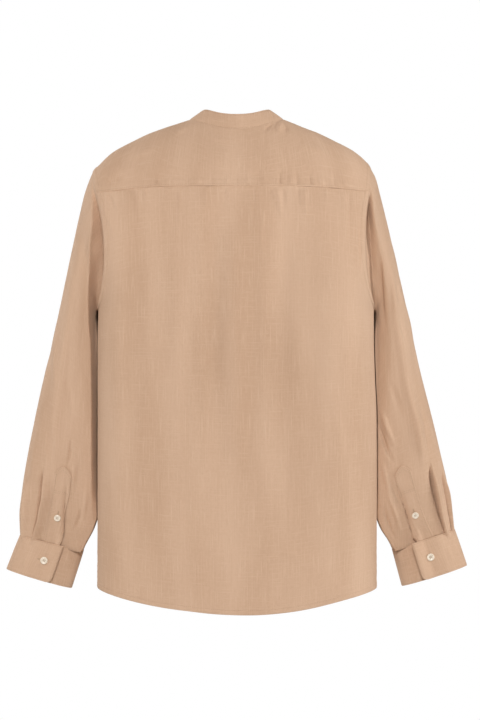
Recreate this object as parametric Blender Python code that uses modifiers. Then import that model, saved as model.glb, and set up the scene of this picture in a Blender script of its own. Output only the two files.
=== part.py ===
"""Mandarin collar shirt in its worn shape, hollow and with no wearer.

Metres, +Z up. The shirt faces -Y and the wearer's left is +X. The origin is the middle of the
neck opening, level with the shoulder seams beside it, where a wearer's shoulders carry the shirt.
Every cloth piece is a grid of points on the garment's surface, given one wall's thickness.
"""

import math

import bmesh
import bpy
import numpy as np
from mathutils import Matrix, Vector

CLOTH = 0.0012  # wall of a cloth piece
SEAM = 0.0003  # open seam between two pieces
LAYER = CLOTH + SEAM + 0.0002  # between the middles of two layers of cloth
ARMHOLE_SEAM = 0.0009  # the sleeve leaves the armhole's edge at a steep angle
UNDERARM_OUT = 0.0018  # and under the arm it first goes out, clear of the torso's side
UNDERARM_TURNS = (110, 150)  # degrees round the sleeve over which it comes to do so
COLLAR_SEAM = 0.0009  # the collar leaves the neck edge at an angle too
CUFF_SEAM = 0.0006

LEFT, RIGHT = 1, -1
BACK, FRONT = 1, -1

# The torso from the hem up. Above the shoulder tips its half widths are the shoulder line.
# A section's squareness is its power: 2 is an ellipse.
Z, LEFT_HALF, RIGHT_HALF, BACK_DEPTH, FRONT_DEPTH, SQUARE = range(6)
TORSO = (
    (-0.790, 0.2200, 0.2218, 0.1230, 0.1150, 2.80),
    (-0.600, 0.2200, 0.2218, 0.1170, 0.1130, 3.00),
    (-0.460, 0.2197, 0.2215, 0.1150, 0.1150, 3.30),
    (-0.400, 0.2195, 0.2190, 0.1160, 0.1170, 3.40),
    (-0.330, 0.2193, 0.2170, 0.1185, 0.1195, 3.50),
    (-0.290, 0.2185, 0.2170, 0.1190, 0.1200, 3.45),
    (-0.240, 0.2260, 0.2210, 0.1180, 0.1190, 3.30),
    (-0.180, 0.2320, 0.2250, 0.1130, 0.1150, 3.00),
    (-0.140, 0.2335, 0.2245, 0.1060, 0.1090, 2.70),
    (-0.100, 0.2335, 0.2225, 0.0950, 0.1000, 2.40),
    (-0.071, 0.2275, 0.2150, 0.0830, 0.0900, 2.20),
    (-0.059, 0.2170, 0.2085, 0.0770, 0.0850, 2.12),
    (-0.040, 0.1965, 0.1885, 0.0650, 0.0740, 2.08),
    (-0.021, 0.1615, 0.1535, 0.0520, 0.0600, 2.04),
    (-0.010, 0.1385, 0.1310, 0.0440, 0.0520, 2.00),
    (-0.002, 0.1165, 0.1110, 0.0385, 0.0450, 2.00),
    (0.0095, 0.0825, 0.0820, 0.0310, 0.0350, 2.00),
    (0.0127, 0.0730, 0.0740, 0.0280, 0.0320, 2.00),
    (0.0300, 0.0350, 0.0420, 0.0200, 0.0220, 2.00),
    (0.0450, 0.0010, 0.0010, 0.0100, 0.0100, 2.00),
)

# Armholes: how far their edge runs in from the section's end halfway down, behind and in front
TIP_Z = {LEFT: -0.0705, RIGHT: -0.0640}
UNDERARM_Z = -0.290
ARMHOLE_INSET = {
    (LEFT, BACK): 0.026,
    (RIGHT, BACK): 0.025,
    (LEFT, FRONT): 0.036,
    (RIGHT, FRONT): 0.036,
}

# Yoke and neck
YOKE_BACK_Z = -0.0965
YOKE_END_DROP, YOKE_END_X, YOKE_END_CURVE = 0.0100, 0.219, 6  # its back seam drops at its ends
YOKE_FRONT_DROP = 0.024  # from the shoulder line to the front yoke seam
NECK_SIDE, NECK_BACK_Z, NECK_FRONT_Z = 0.0740, -0.005, -0.070  # an oval seen from above
NECK_SQUARE_BACK, NECK_SQUARE_FRONT = 2.0, 2.5
NECK_FRONT_WIDEN = 1.02  # how much wider than an ellipse the oval is at the lap

# Collar: its height, and the share of it that leans in over the neck, behind, beside and in front
COLLAR_HEIGHT = 0.0266
COLLAR_LEAN = (0.40, 0.78, -0.02)

# Hem
HEM_BACK_Z, HEM_FRONT_Z, HEM_SIDE_Z = -0.7635, -0.7530, -0.7285
HEM_CURVE = 2.1

# Front closure: the left front lies over the right one
LAP = 0.0175  # each front passes the middle by this
LAP_FULL, LAP_END = 0.0300, 0.0550  # the left front is a layer out up to the first, flush past the second
FRONT_PLACKET_EDGE = 0.0165  # its far edge from the middle
PLACKET_BELOW_COLLAR = 0.0020
BUTTON_COUNT, FIRST_BUTTON_Z, BUTTON_SPACING = 7, -0.1300, 0.0850

# Soft folds down the back and the fronts
PLACE, TOP, BOTTOM, HALF_SPREAD, DEEP = range(5)
BACK_FOLDS = (
    (0.000, -0.104, -0.780, 0.160, -0.0070),
    (0.186, -0.104, -0.780, 0.034, 0.0050),
    (0.158, -0.104, -0.720, 0.060, 0.0075),
    (0.050, -0.104, -0.600, 0.046, 0.0050),
    (-0.040, -0.104, -0.590, 0.050, 0.0060),
    (-0.160, -0.104, -0.720, 0.060, 0.0085),
    (-0.187, -0.104, -0.780, 0.032, 0.0050),
)
FRONT_FOLDS = (
    (0.122, -0.150, -0.560, 0.036, 0.0044),
    (0.065, -0.230, -0.640, 0.022, 0.0026),
    (-0.072, -0.190, -0.600, 0.030, 0.0034),
    (-0.142, -0.150, -0.520, 0.036, 0.0044),
)

# Sleeves from the armhole to the cuff. Each row is one ring: its outer and inner points, its reach
# behind and in front of the shoulder line, and its squareness.
OUT_X, OUT_Z, IN_X, IN_Z, REACH_BACK, REACH_FRONT, RING_SQUARE = range(7)
SLEEVE = {
    LEFT: (
        (0.2275, -0.0705, 0.2200, -0.2905, 0.046, -0.074, 2.2),
        (0.2345, -0.0850, 0.2235, -0.2930, 0.040, -0.080, 2.2),
        (0.2420, -0.1050, 0.2245, -0.3000, 0.035, -0.087, 2.3),
        (0.2500, -0.1380, 0.2245, -0.3130, 0.033, -0.094, 2.4),
        (0.2615, -0.1900, 0.2240, -0.3360, 0.033, -0.100, 2.5),
        (0.2755, -0.2550, 0.2230, -0.3700, 0.033, -0.102, 2.6),
        (0.2900, -0.3220, 0.2200, -0.4150, 0.031, -0.101, 2.6),
        (0.3065, -0.3920, 0.2150, -0.4650, 0.027, -0.098, 2.6),
        (0.3220, -0.4620, 0.2110, -0.5160, 0.021, -0.095, 2.6),
        (0.3350, -0.5260, 0.2120, -0.5620, 0.012, -0.092, 2.5),
        (0.3440, -0.5800, 0.2175, -0.6040, 0.002, -0.088, 2.4),
        (0.3480, -0.6180, 0.2280, -0.6380, -0.007, -0.082, 2.3),
        (0.3475, -0.6410, 0.2400, -0.6610, -0.014, -0.077, 2.2),
        (0.3460, -0.6500, 0.2465, -0.6740, -0.017, -0.075, 2.2),
    ),
    RIGHT: (
        (0.2115, -0.0640, 0.2185, -0.2905, 0.046, -0.074, 2.2),
        (0.2205, -0.0790, 0.2215, -0.2930, 0.040, -0.080, 2.2),
        (0.2270, -0.1000, 0.2225, -0.3000, 0.035, -0.087, 2.3),
        (0.2365, -0.1350, 0.2225, -0.3130, 0.033, -0.094, 2.4),
        (0.2490, -0.1880, 0.2220, -0.3360, 0.033, -0.100, 2.5),
        (0.2640, -0.2530, 0.2215, -0.3700, 0.033, -0.102, 2.6),
        (0.2785, -0.3200, 0.2195, -0.4150, 0.031, -0.101, 2.6),
        (0.2940, -0.3880, 0.2150, -0.4650, 0.027, -0.098, 2.6),
        (0.3125, -0.4600, 0.2110, -0.5160, 0.021, -0.095, 2.6),
        (0.3280, -0.5230, 0.2120, -0.5620, 0.012, -0.092, 2.5),
        (0.3400, -0.5770, 0.2190, -0.6040, 0.002, -0.088, 2.4),
        (0.3460, -0.6130, 0.2310, -0.6380, -0.007, -0.082, 2.3),
        (0.3485, -0.6320, 0.2440, -0.6590, -0.014, -0.077, 2.2),
        (0.3490, -0.6410, 0.2510, -0.6715, -0.017, -0.075, 2.2),
    ),
}
CAP_BLEND = 0.11  # share of the sleeve's length over which it leaves the armhole's own curve
BODY_CLEARANCE = 0.0042  # between the middles of the sleeve's wall and the torso's

# Sleeve folds and pleats. Angles round the sleeve are in degrees: 0 outside, 90 behind, 180 inside.
# Places along it run from 0 at the armhole to 1 at the cuff. A pleat grows all the way to the cuff.
ANGLE, TURN, START, END, HALF_ANGLE, FOLD_DEEP = range(6)
SLEEVE_FOLDS = {
    LEFT: (
        (62, 8, 0.30, 0.80, 17, 0.0030),
        (118, -6, 0.18, 0.72, 16, 0.0028),
        (300, 10, 0.25, 0.85, 20, 0.0038),
        (235, -8, 0.30, 0.80, 20, 0.0038),
    ),
    RIGHT: (
        (70, -8, 0.25, 0.80, 17, 0.0034),
        (122, -10, 0.45, 0.86, 15, 0.0034),
        (300, 10, 0.25, 0.85, 20, 0.0038),
        (235, -8, 0.30, 0.80, 20, 0.0038),
    ),
}
SLEEVE_PLEATS = {
    LEFT: ((60, -6, 0.82, 1.0, 11, 0.0042), (26, -4, 0.85, 1.0, 11, 0.0038)),
    RIGHT: ((62, -8, 0.80, 1.0, 11, 0.0042), (26, -4, 0.84, 1.0, 11, 0.0038)),
}
PLEAT_TURNS = (15, 26, 37, 50, 60, 71)  # extra columns of the grid, for the pleats

# Cuffs start where the sleeves end, and these rings are their lower edges.
CUFF = {
    LEFT: (0.3680, -0.7045, 0.2655, -0.7345, -0.016, -0.076, 2.2),
    RIGHT: (0.3690, -0.6985, 0.2670, -0.7310, -0.016, -0.076, 2.2),
}
CUFF_START, CUFF_LAP_FROM, CUFF_LAP_FULL, CUFF_STOP = 76, 408, 430, 472  # degrees, over one turn
CUFF_BUTTON_TURN, CUFF_BUTTON_DOWN = 449, 0.48

# Sleeve plackets, which lie on the back of the sleeves
PLACKET_HALF, PLACKET_LENGTH, PLACKET_POINT = 0.0128, 0.1300, 0.0120
PLACKET_POINT_CURVE = 1.5
PLACKET_TURN = {LEFT: (90, 92), RIGHT: (97, 88)}  # at its top and at the cuff
PLACKET_LAYER, PLACKET_ABOVE_CUFF = LAYER + 0.0003, 0.0009
PLACKET_BUTTON_UP = 0.046

BUTTON_R, BUTTON_T, BUTTON_DISH = 0.0060, 0.0025, 0.0007
SMALL_BUTTON = 0.9
BUTTON_SIDES, HOLE_SIDES, BUTTON_GAP = 16, 6, 0.0004
HOLE_R, HOLE_PITCH = 0.0007, 0.0011

# Grid steps
BELOW_ROWS, ABOVE_ROWS = 7, 8
NECK_COLUMNS, SHOULDER_COLUMNS = 6, 5
YOKE_NECK_COLUMNS, YOKE_ROWS = 12, 6
NECK_COLUMN_SPREAD = 0.4  # how fast the yoke's columns turn away from the neck edge
ARMHOLE_TURN = math.radians(132)  # the part of the armhole's round that lies below the yoke
EDGE_PULL = 3  # how fast a row's or column's shift fades away from the armhole
YOKE_SEAM_REACH = 0.9  # the yoke seam's half width, as a share of the section's
STRAIGHT_SHARE = 0.25  # share of a front's columns, from its edge, that run straight down
COLLAR_ROWS = 2
SLEEVE_ROWS, SLEEVE_ROW_EASE = 17, 0.05  # the ease brings rows closer together at both ends
CUFF_COLUMNS, CUFF_ROWS = 28, 3
STRIP_COLUMNS, STRIP_ROWS = 4, 8
PLACKET_SEARCH = 4  # sleeve columns on each side of the placket's middle that it may reach

CLOTH_COLOUR = (0.58, 0.40, 0.26)
BUTTON_COLOUR = (0.82, 0.77, 0.70)


def smooth(table, column, at):
    """One column of a table at places in its first column, as a cubic that never overshoots."""
    rows = np.array(table)
    knots, values = rows[:, 0], rows[:, column]
    step = np.diff(knots)
    slope = np.diff(values) / step
    product, total = slope[:-1] * slope[1:], slope[:-1] + slope[1:]
    inner = np.where(product > 0, 2 * product / np.where(product > 0, total, 1), 0)
    tangent = np.concatenate([slope[:1], inner, slope[-1:]])
    at = np.clip(at, knots[0], knots[-1])
    i = np.clip(np.searchsorted(knots, at) - 1, 0, len(step) - 1)
    t = (at - knots[i]) / step[i]
    rise = (values[i + 1] - values[i]) * t * t * (3 - 2 * t)
    return values[i] + rise + step[i] * (tangent[i] * t * (1 - t) ** 2 - tangent[i + 1] * t * t * (1 - t))


def bump(t):
    """1 at 0, smoothly down to 0 at -1 and 1."""
    return np.cos(np.clip(t, -1, 1) * math.pi / 2) ** 2


def half_width(x, z):
    """Half width of the torso at a level, on the side of x."""
    return np.where(np.asarray(x) >= 0, smooth(TORSO, LEFT_HALF, z), smooth(TORSO, RIGHT_HALF, z))


def depth(face, z):
    return smooth(TORSO, BACK_DEPTH if face == BACK else FRONT_DEPTH, z)


def on_torso(x, z, face):
    """Points of the torso at places across and up, on its back or front."""
    x, z = np.broadcast_arrays(np.asarray(x, float), np.asarray(z, float))
    power = smooth(TORSO, SQUARE, z)
    share = np.clip(np.abs(x) / half_width(x, z), 0, 1)
    return np.stack([x, face * depth(face, z) * (1 - share**power) ** (1 / power), z], axis=-1)


def angle_of(x, z):
    """The angle round the section from the left side for a place across: 90 degrees in the middle."""
    power = smooth(TORSO, SQUARE, z)
    share = np.clip(x / half_width(x, z), -1, 1)
    return np.arctan2((1 - np.abs(share) ** power) ** (1 / power), share)


def across(angle, z):
    """The place across for an angle round the section."""
    power = smooth(TORSO, SQUARE, z)
    cosine, sine = np.cos(angle), np.sin(angle)
    return half_width(cosine, z) * cosine * (np.abs(cosine) ** power + np.abs(sine) ** power) ** (-1 / power)


def ridge(x):
    """Height of the shoulder line."""
    z = np.linspace(TORSO[-1][Z], min(TIP_Z.values()), 400)
    left, right = smooth(TORSO, LEFT_HALF, z), smooth(TORSO, RIGHT_HALF, z)
    return np.where(np.asarray(x) >= 0, np.interp(np.abs(x), left, z), np.interp(np.abs(x), right, z))


def over_shoulder(x, root):
    """A point lower than the shoulder line by root squared, and behind the line where root is positive."""
    x, root = np.broadcast_arrays(np.asarray(x, float), np.asarray(root, float))
    z = ridge(x) - root**2
    return np.where((root >= 0)[..., None], on_torso(x, z, BACK), on_torso(x, z, FRONT))


def armhole_x(side, face, z):
    """Distance of the armhole's edge from the middle, between the shoulder tip and the underarm."""
    down = np.clip((TIP_Z[side] - z) / (TIP_Z[side] - UNDERARM_Z), 0, 1)
    return half_width(side, z) - ARMHOLE_INSET[side, face] * 4 * down * (1 - down)


def hem_z(x, face):
    middle = HEM_BACK_Z if face == BACK else HEM_FRONT_Z
    share = np.clip(np.abs(x) / half_width(x, HEM_SIDE_Z), 0, 1)
    return middle + (HEM_SIDE_Z - middle) * share**HEM_CURVE


def yoke_back_z(x):
    return YOKE_BACK_Z - YOKE_END_DROP * (np.abs(x) / YOKE_END_X) ** YOKE_END_CURVE


def yoke_front_z(x):
    return ridge(x) - YOKE_FRONT_DROP


def where_meet(side, face, seam):
    """Where a yoke seam meets the armhole, as a distance from the middle."""
    x = NECK_SIDE
    for _ in range(60):
        x = (x + float(armhole_x(side, face, seam(side * x)))) / 2
    return x


def height(x, y):
    """Height of the torso's upper surface over a place seen from above."""
    low, high = np.full(np.shape(x), UNDERARM_Z), np.full(np.shape(x), TORSO[-1][Z])
    for _ in range(40):
        z = (low + high) / 2
        reach = np.where(y >= 0, depth(BACK, z), depth(FRONT, z))
        power = smooth(TORSO, SQUARE, z)
        outside = (np.abs(x) / half_width(x, z)) ** power + (np.abs(y) / reach) ** power > 1
        low, high = np.where(outside, low, z), np.where(outside, z, high)
    return (low + high) / 2


def neck_edge(turn):
    """Places across and up on the neck edge: the turn is 0 at the left side and 90 degrees behind."""
    cosine, sine = np.cos(turn), np.sin(turn)
    power = np.where(sine >= 0, NECK_SQUARE_BACK, NECK_SQUARE_FRONT)
    reach = np.where(sine >= 0, depth(BACK, NECK_BACK_Z), depth(FRONT, NECK_FRONT_Z))
    size = (np.abs(cosine) ** power + np.abs(sine) ** power) ** (-1 / power)
    x = NECK_SIDE * cosine * size
    return x, height(x, reach * sine * size)


def neck_corner():
    """Turn from a side of the neck forward to the front yoke seam."""
    turn = np.linspace(0, math.pi / 2, 500)
    x, z = neck_edge(-turn)
    return float(np.interp(YOKE_FRONT_DROP, ridge(x) - z, turn))


def fold_height(folds, x, z):
    height = np.zeros(np.broadcast(x, z).shape)
    for row in folds:
        down = np.clip((row[TOP] - z) / (row[TOP] - row[BOTTOM]), 0, 1)
        height += row[DEEP] * np.sin(math.pi * down**0.7) * bump((x - row[PLACE]) / row[HALF_SPREAD])
    return height


def lap_height(x):
    return np.interp(x, (LAP_FULL, LAP_END), (LAYER, 0))


def moved_out(grid, distance, closed=False):
    """A grid moved along its outward direction. In a closed one the first and last columns are one line."""
    rows, columns = np.gradient(grid, axis=0), np.gradient(grid, axis=1)
    if closed:
        columns[:, 0] = columns[:, -1] = grid[:, 1] - grid[:, -2]
    normal = np.cross(columns, rows)
    normal /= np.maximum(np.linalg.norm(normal, axis=-1, keepdims=True), 1e-12)
    return grid + normal * np.asarray(distance)[..., None]


def trimmed(grid, first_row=0.0, last_row=0.0, first_column=0.0, last_column=0.0):
    """A grid with its edges drawn in by these distances, which opens its seams."""
    grid = grid.copy()
    for edge, inner, by in (
        (np.s_[0], np.s_[1], first_row),
        (np.s_[-1], np.s_[-2], last_row),
        (np.s_[:, 0], np.s_[:, 1], first_column),
        (np.s_[:, -1], np.s_[:, -2], last_column),
    ):
        step = grid[inner] - grid[edge]
        grid[edge] += by * step / np.maximum(np.linalg.norm(step, axis=-1, keepdims=True), 1e-9)
    return grid


def material(name, colour, roughness):
    made = bpy.data.materials.new(name)
    made.use_nodes = True
    shader = made.node_tree.nodes["Principled BSDF"]
    shader.inputs["Base Color"].default_value = (*colour, 1)
    shader.inputs["Roughness"].default_value = roughness
    return made


def cloth(name, grid, shirt, closed=False):
    """A piece of cloth: a flat grid bent to these points and given its wall."""
    rows, columns = grid.shape[:2]
    shape = bmesh.new()
    bmesh.ops.create_grid(shape, x_segments=columns - 1, y_segments=rows - 1, size=0.5)
    for vertex, place in zip(shape.verts, grid.reshape(-1, 3), strict=True):
        vertex.co = place
    if closed:
        bmesh.ops.remove_doubles(shape, verts=shape.verts, dist=1e-5)
    mesh = bpy.data.meshes.new(name)
    shape.to_mesh(mesh)
    shape.free()
    mesh.shade_smooth()
    mesh.materials.append(material(name, CLOTH_COLOUR, 0.9))
    piece = bpy.data.objects.new(name, mesh)
    shirt.objects.link(piece)
    wall = piece.modifiers.new("wall", "SOLIDIFY")
    wall.thickness = CLOTH
    wall.offset = 0


def rows_up(share, seam_z):
    """Heights from the underarm to a seam above, closer together by the armhole, whose edge turns level."""
    turn = np.linspace(0, ARMHOLE_TURN, ABOVE_ROWS + 1)[1:, None]
    by_armhole = (1 - np.cos(turn)) / (1 - math.cos(ARMHOLE_TURN))
    evenly = turn / ARMHOLE_TURN
    return UNDERARM_Z + (evenly + (by_armhole - evenly) * share**EDGE_PULL) * (seam_z - UNDERARM_Z)


def back_places():
    """Places across and up on the back, from the hem to the yoke seam, between side seams and armholes."""
    share = np.linspace(0, 1, 2 * SHOULDER_COLUMNS + YOKE_NECK_COLUMNS + 1)
    hem = hem_z(across(share * math.pi, HEM_BACK_Z), BACK)
    below_z = hem + np.linspace(0, 1, BELOW_ROWS + 1)[:, None] * (UNDERARM_Z - hem)
    seam_z = yoke_back_z(across(share * math.pi, YOKE_BACK_Z) * YOKE_SEAM_REACH)
    above_z = rows_up(np.abs(2 * share - 1), seam_z)
    first = angle_of(armhole_x(LEFT, BACK, above_z[:, :1]), above_z[:, :1])
    last = angle_of(-armhole_x(RIGHT, BACK, above_z[:, -1:]), above_z[:, -1:])
    below_x = across(math.pi * share, below_z)
    above_x = across(first + (last - first) * share, above_z)
    return np.concatenate([below_x, above_x]), np.concatenate([below_z, above_z])


def back_grid():
    x, z = back_places()
    grid = moved_out(on_torso(x, z, BACK), fold_height(BACK_FOLDS, x, z))
    return trimmed(grid, last_row=SEAM / 2, first_column=SEAM / 2, last_column=SEAM / 2)


def front_neck_turns(side):
    """Turns of a front's neck edge, from past the middle to the yoke."""
    lap_turn = math.pi - math.acos(LAP / (NECK_SIDE * NECK_FRONT_WIDEN))
    turns = np.linspace(lap_turn, neck_corner(), NECK_COLUMNS + 1)
    return -turns if side == LEFT else math.pi + turns


def front_grid(side):
    """One front, from past the middle to the side seam. Its top edge is a neck edge and a yoke seam."""
    columns = NECK_COLUMNS + SHOULDER_COLUMNS
    share = np.linspace(0, 1, columns + 1)
    middle = float(angle_of(side * -LAP, HEM_FRONT_Z))
    end = 0.0 if side == LEFT else math.pi
    x = side * across(middle + (end - middle) * share, HEM_FRONT_Z)
    hem = hem_z(side * x, FRONT)
    below_z = hem + np.linspace(0, 1, BELOW_ROWS + 1)[:, None] * (UNDERARM_Z - hem)
    widened = x * half_width(side, below_z) / half_width(side, HEM_FRONT_Z)
    below_x = np.where(share > STRAIGHT_SHARE, widened, x)
    neck_x, neck_z = neck_edge(front_neck_turns(side))
    neck_x = side * neck_x
    yoke_end = where_meet(side, FRONT, yoke_front_z)
    yoke_x = np.linspace(neck_x[-1], yoke_end, SHOULDER_COLUMNS + 1)[1:]
    top_x = np.concatenate([neck_x, yoke_x])
    top_z = np.concatenate([neck_z, yoke_front_z(side * yoke_x)])
    above_z = rows_up(share, top_z)
    above_x = below_x[-1] + (above_z - UNDERARM_Z) / (top_z - UNDERARM_Z) * (top_x - below_x[-1])
    above_x += (armhole_x(side, FRONT, above_z[:, -1:]) - above_x[:, -1:]) * share**EDGE_PULL
    x, z = side * np.concatenate([below_x, above_x]), np.concatenate([below_z, above_z])
    out = fold_height(FRONT_FOLDS, x, z)
    if side == LEFT:
        out += lap_height(x)
    grid = moved_out(on_torso(x, z, FRONT)[:, ::side], out[:, ::side])[:, ::side]
    return trimmed(grid, last_row=SEAM, last_column=SEAM / 2)


def yoke_grid():
    """Over both shoulders: the rows run from the front seams and the neck edge to the back seam."""
    left_front, right_front = (where_meet(side, FRONT, yoke_front_z) for side in (LEFT, RIGHT))
    corner, corner_root = neck_corner(), -math.sqrt(YOKE_FRONT_DROP)
    turn = np.linspace(-corner, math.pi + corner, YOKE_NECK_COLUMNS + 1)
    neck_x, neck_z = neck_edge(turn)
    neck_root = np.sign(np.sin(turn)) * np.sqrt(np.maximum(ridge(neck_x) - neck_z, 0))
    left_x = np.linspace(left_front, neck_x[0], SHOULDER_COLUMNS + 1)[:-1]
    right_x = np.linspace(neck_x[-1], -right_front, SHOULDER_COLUMNS + 1)[1:]
    top_x = np.concatenate([left_x, neck_x, right_x])
    ends = np.full(SHOULDER_COLUMNS, corner_root)
    top_root = np.concatenate([ends, neck_root, ends])
    low_x, low_z = (places[-1] for places in back_places())
    low_root = np.sqrt(ridge(low_x) - low_z)
    down = np.linspace(0, 1, YOKE_ROWS + 1)[:, None]
    from_end = np.minimum(np.arange(len(low_x)), np.arange(len(low_x))[::-1])
    by_neck = np.clip(from_end / SHOULDER_COLUMNS, 0, 1)
    x = top_x + (low_x - top_x) * down ** (1 - NECK_COLUMN_SPREAD * by_neck)
    root = top_root + (low_root - top_root) * down
    for column, side in ((0, LEFT), (-1, RIGHT)):
        for _ in range(60):
            z = ridge(x[:, column]) - root[:, column] ** 2
            edge = np.where(root[:, column] >= 0, armhole_x(side, BACK, z), armhole_x(side, FRONT, z))
            x[:, column] = (x[:, column] + side * edge) / 2
    grid = over_shoulder(x, root)
    return trimmed(grid, first_row=SEAM, last_row=SEAM / 2)


def neck_loop():
    """Turns and points of the neck edge, from past the middle on the right front to past it on the left."""
    corner = neck_corner()
    over = np.linspace(math.pi + corner, -corner, YOKE_NECK_COLUMNS + 1)
    turn = np.concatenate([front_neck_turns(RIGHT), over[1:-1], front_neck_turns(LEFT)[::-1]])
    x, z = neck_edge(turn)
    points = np.where((np.sin(turn) >= 0)[:, None], on_torso(x, z, BACK), on_torso(x, z, FRONT))
    on_left_front = turn <= -corner
    points[:, 1] -= np.where(on_left_front, lap_height(x), 0)
    return turn, points


def collar_grid():
    """A band that stands on the neck edge and leans in over it, its left end lying over its right one."""
    turn, edge = neck_loop()
    sine = np.sin(turn)
    behind, beside, before = COLLAR_LEAN
    lean = beside + np.where(sine > 0, behind - beside, before - beside) * sine**2
    rise = np.sqrt(1 - lean**2)
    inward = -np.stack([np.cos(turn), sine, np.zeros_like(sine)], axis=-1)
    up = COLLAR_HEIGHT * (inward * lean[:, None] + rise[:, None] * np.array([0, 0, 1]))
    grid = edge + np.linspace(0, 1, COLLAR_ROWS + 1)[:, None, None] * up
    return trimmed(grid, first_row=COLLAR_SEAM)


def armhole_points(side):
    """The armhole's edge from the underarm up the back, over the tip and down the front to the underarm."""
    end = 0 if side == LEFT else -1
    behind, over = back_grid()[BELOW_ROWS:, end], yoke_grid()[::-1, end]
    before = front_grid(side)[:BELOW_ROWS - 1 : -1, -1]
    under = (behind[:1] + before[-1:]) / 2
    seams = [(behind[-1:] + over[:1]) / 2, (over[-1:] + before[:1]) / 2]
    return np.concatenate([under, behind[1:-1], seams[0], over[1:-1], seams[1], before[1:-1], under])


def armhole_turns(side, points):
    """Degrees round the sleeve for the armhole's points: from 180 at the underarm by 0 at the tip to -180."""
    down = np.clip((TIP_Z[side] - points[:, 2]) / (TIP_Z[side] - UNDERARM_Z), 0, 1)
    turn = np.degrees(np.arccos(1 - 2 * down)) * np.sign(points[:, 1])
    turn[0], turn[-1] = 180, -180
    return turn


def sleeve_turns(side):
    """Turns of the sleeve's columns, in degrees: the armhole's points, and more for the pleats."""
    return np.sort(np.concatenate([armhole_turns(side, armhole_points(side)), PLEAT_TURNS]))[::-1]


def sleeve_rows(side):
    """The sleeve's table with each ring's place along the sleeve in front of it."""
    rows = np.array(SLEEVE[side])
    middle = np.stack([rows[:, OUT_X] + rows[:, IN_X], rows[:, OUT_Z] + rows[:, IN_Z]], axis=1) / 2
    along = np.concatenate([[0], np.cumsum(np.linalg.norm(np.diff(middle, axis=0), axis=1))])
    return np.column_stack([along / along[-1], rows])


def ring(side, row, turn):
    """Points of one ring of a sleeve or a cuff, for turns in degrees."""
    turn = np.radians(turn)
    power = row[RING_SQUARE]
    size = (np.abs(np.cos(turn)) ** power + np.abs(np.sin(turn)) ** power) ** (-1 / power)
    out, behind = np.cos(turn) * size, np.sin(turn) * size
    x = (row[OUT_X] + row[IN_X]) / 2 + (row[OUT_X] - row[IN_X]) / 2 * out
    z = (row[OUT_Z] + row[IN_Z]) / 2 + (row[OUT_Z] - row[IN_Z]) / 2 * out
    y = (row[REACH_BACK] + row[REACH_FRONT]) / 2 + (row[REACH_BACK] - row[REACH_FRONT]) / 2 * behind
    return np.stack([side * x, y, z], axis=-1)


def sleeve_row(side, along):
    table = sleeve_rows(side)
    return [float(smooth(table, column + 1, along)) for column in range(RING_SQUARE + 1)]


def clear_of_torso(points, side):
    """Points moved sideways where they would touch the torso below the armhole."""
    x, y, z = side * points[..., 0], points[..., 1], points[..., 2]
    power = smooth(TORSO, SQUARE, z)
    reach = np.where(y >= 0, depth(BACK, z), depth(FRONT, z))
    level = 1 - np.clip(np.abs(y) / reach, 0, 1) ** power
    surface = half_width(side, z) * level ** (1 / power) + BODY_CLEARANCE
    x = np.where(z < UNDERARM_Z, np.maximum(x, surface), x)
    return np.stack([side * x, y, z], axis=-1)


def turns_apart(turn, angle):
    return (turn - angle + 180) % 360 - 180


def sleeve_fold_height(side, along, turn):
    height = np.zeros(np.broadcast(along, turn).shape)
    for row in SLEEVE_FOLDS[side]:
        down = np.clip((along - row[START]) / (row[END] - row[START]), 0, 1)
        aside = turns_apart(turn, row[ANGLE] + row[TURN] * down) / row[HALF_ANGLE]
        height += row[FOLD_DEEP] * np.sin(math.pi * down) * bump(aside)
    for row in SLEEVE_PLEATS[side]:
        down = np.clip((along - row[START]) / (row[END] - row[START]), 0, 1)
        aside = turns_apart(turn, row[ANGLE] + row[TURN] * down) / row[HALF_ANGLE]
        height += row[FOLD_DEEP] * down * bump(aside)
    return height


def sleeve_grid(side):
    """From the armhole's edge to the cuff, with its folds and the two pleats into the cuff."""
    edge = armhole_points(side)
    edge_turn = armhole_turns(side, edge)
    turn = sleeve_turns(side)
    edge = np.stack([np.interp(-turn, -edge_turn, edge[:, axis]) for axis in range(3)], axis=-1)
    even = np.linspace(0, 1, SLEEVE_ROWS + 1)
    along = (even - SLEEVE_ROW_EASE * np.sin(2 * math.pi * even))[:, None]
    grid = np.array([ring(side, sleeve_row(side, place), turn) for place in along[:, 0]])
    grid = moved_out(grid, side * sleeve_fold_height(side, along, turn), closed=True)
    at_armhole = (1 - np.clip(along / CAP_BLEND, 0, 1))[..., None] ** 2
    grid = grid + (edge - grid[0]) * at_armhole
    grid[-1, :, 2] = ring(side, sleeve_row(side, 1.0), turn)[:, 2]
    grid[1:] = clear_of_torso(grid[1:], side)
    grid = trimmed(grid, first_row=ARMHOLE_SEAM)
    grid[0, :, 0] += side * UNDERARM_OUT * np.interp(np.abs(turn), UNDERARM_TURNS, (0, 1))
    return grid


def cuff_grid(side):
    """Round the wrist and over its own start. The rows run down from the sleeve's last ring."""
    top, bottom = np.array(sleeve_row(side, 1.0)), np.array(CUFF[side])
    turn = np.linspace(CUFF_START, CUFF_STOP, CUFF_COLUMNS + 1)
    down = np.linspace(0, 1, CUFF_ROWS + 1)
    grid = np.array([ring(side, top + (bottom - top) * share, turn) for share in down])
    lap = LAYER * np.clip((turn - CUFF_LAP_FROM) / (CUFF_LAP_FULL - CUFF_LAP_FROM), 0, 1)
    grid = moved_out(grid, np.broadcast_to(-side * lap, grid.shape[:2]))
    return trimmed(grid, first_row=CUFF_SEAM)


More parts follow.
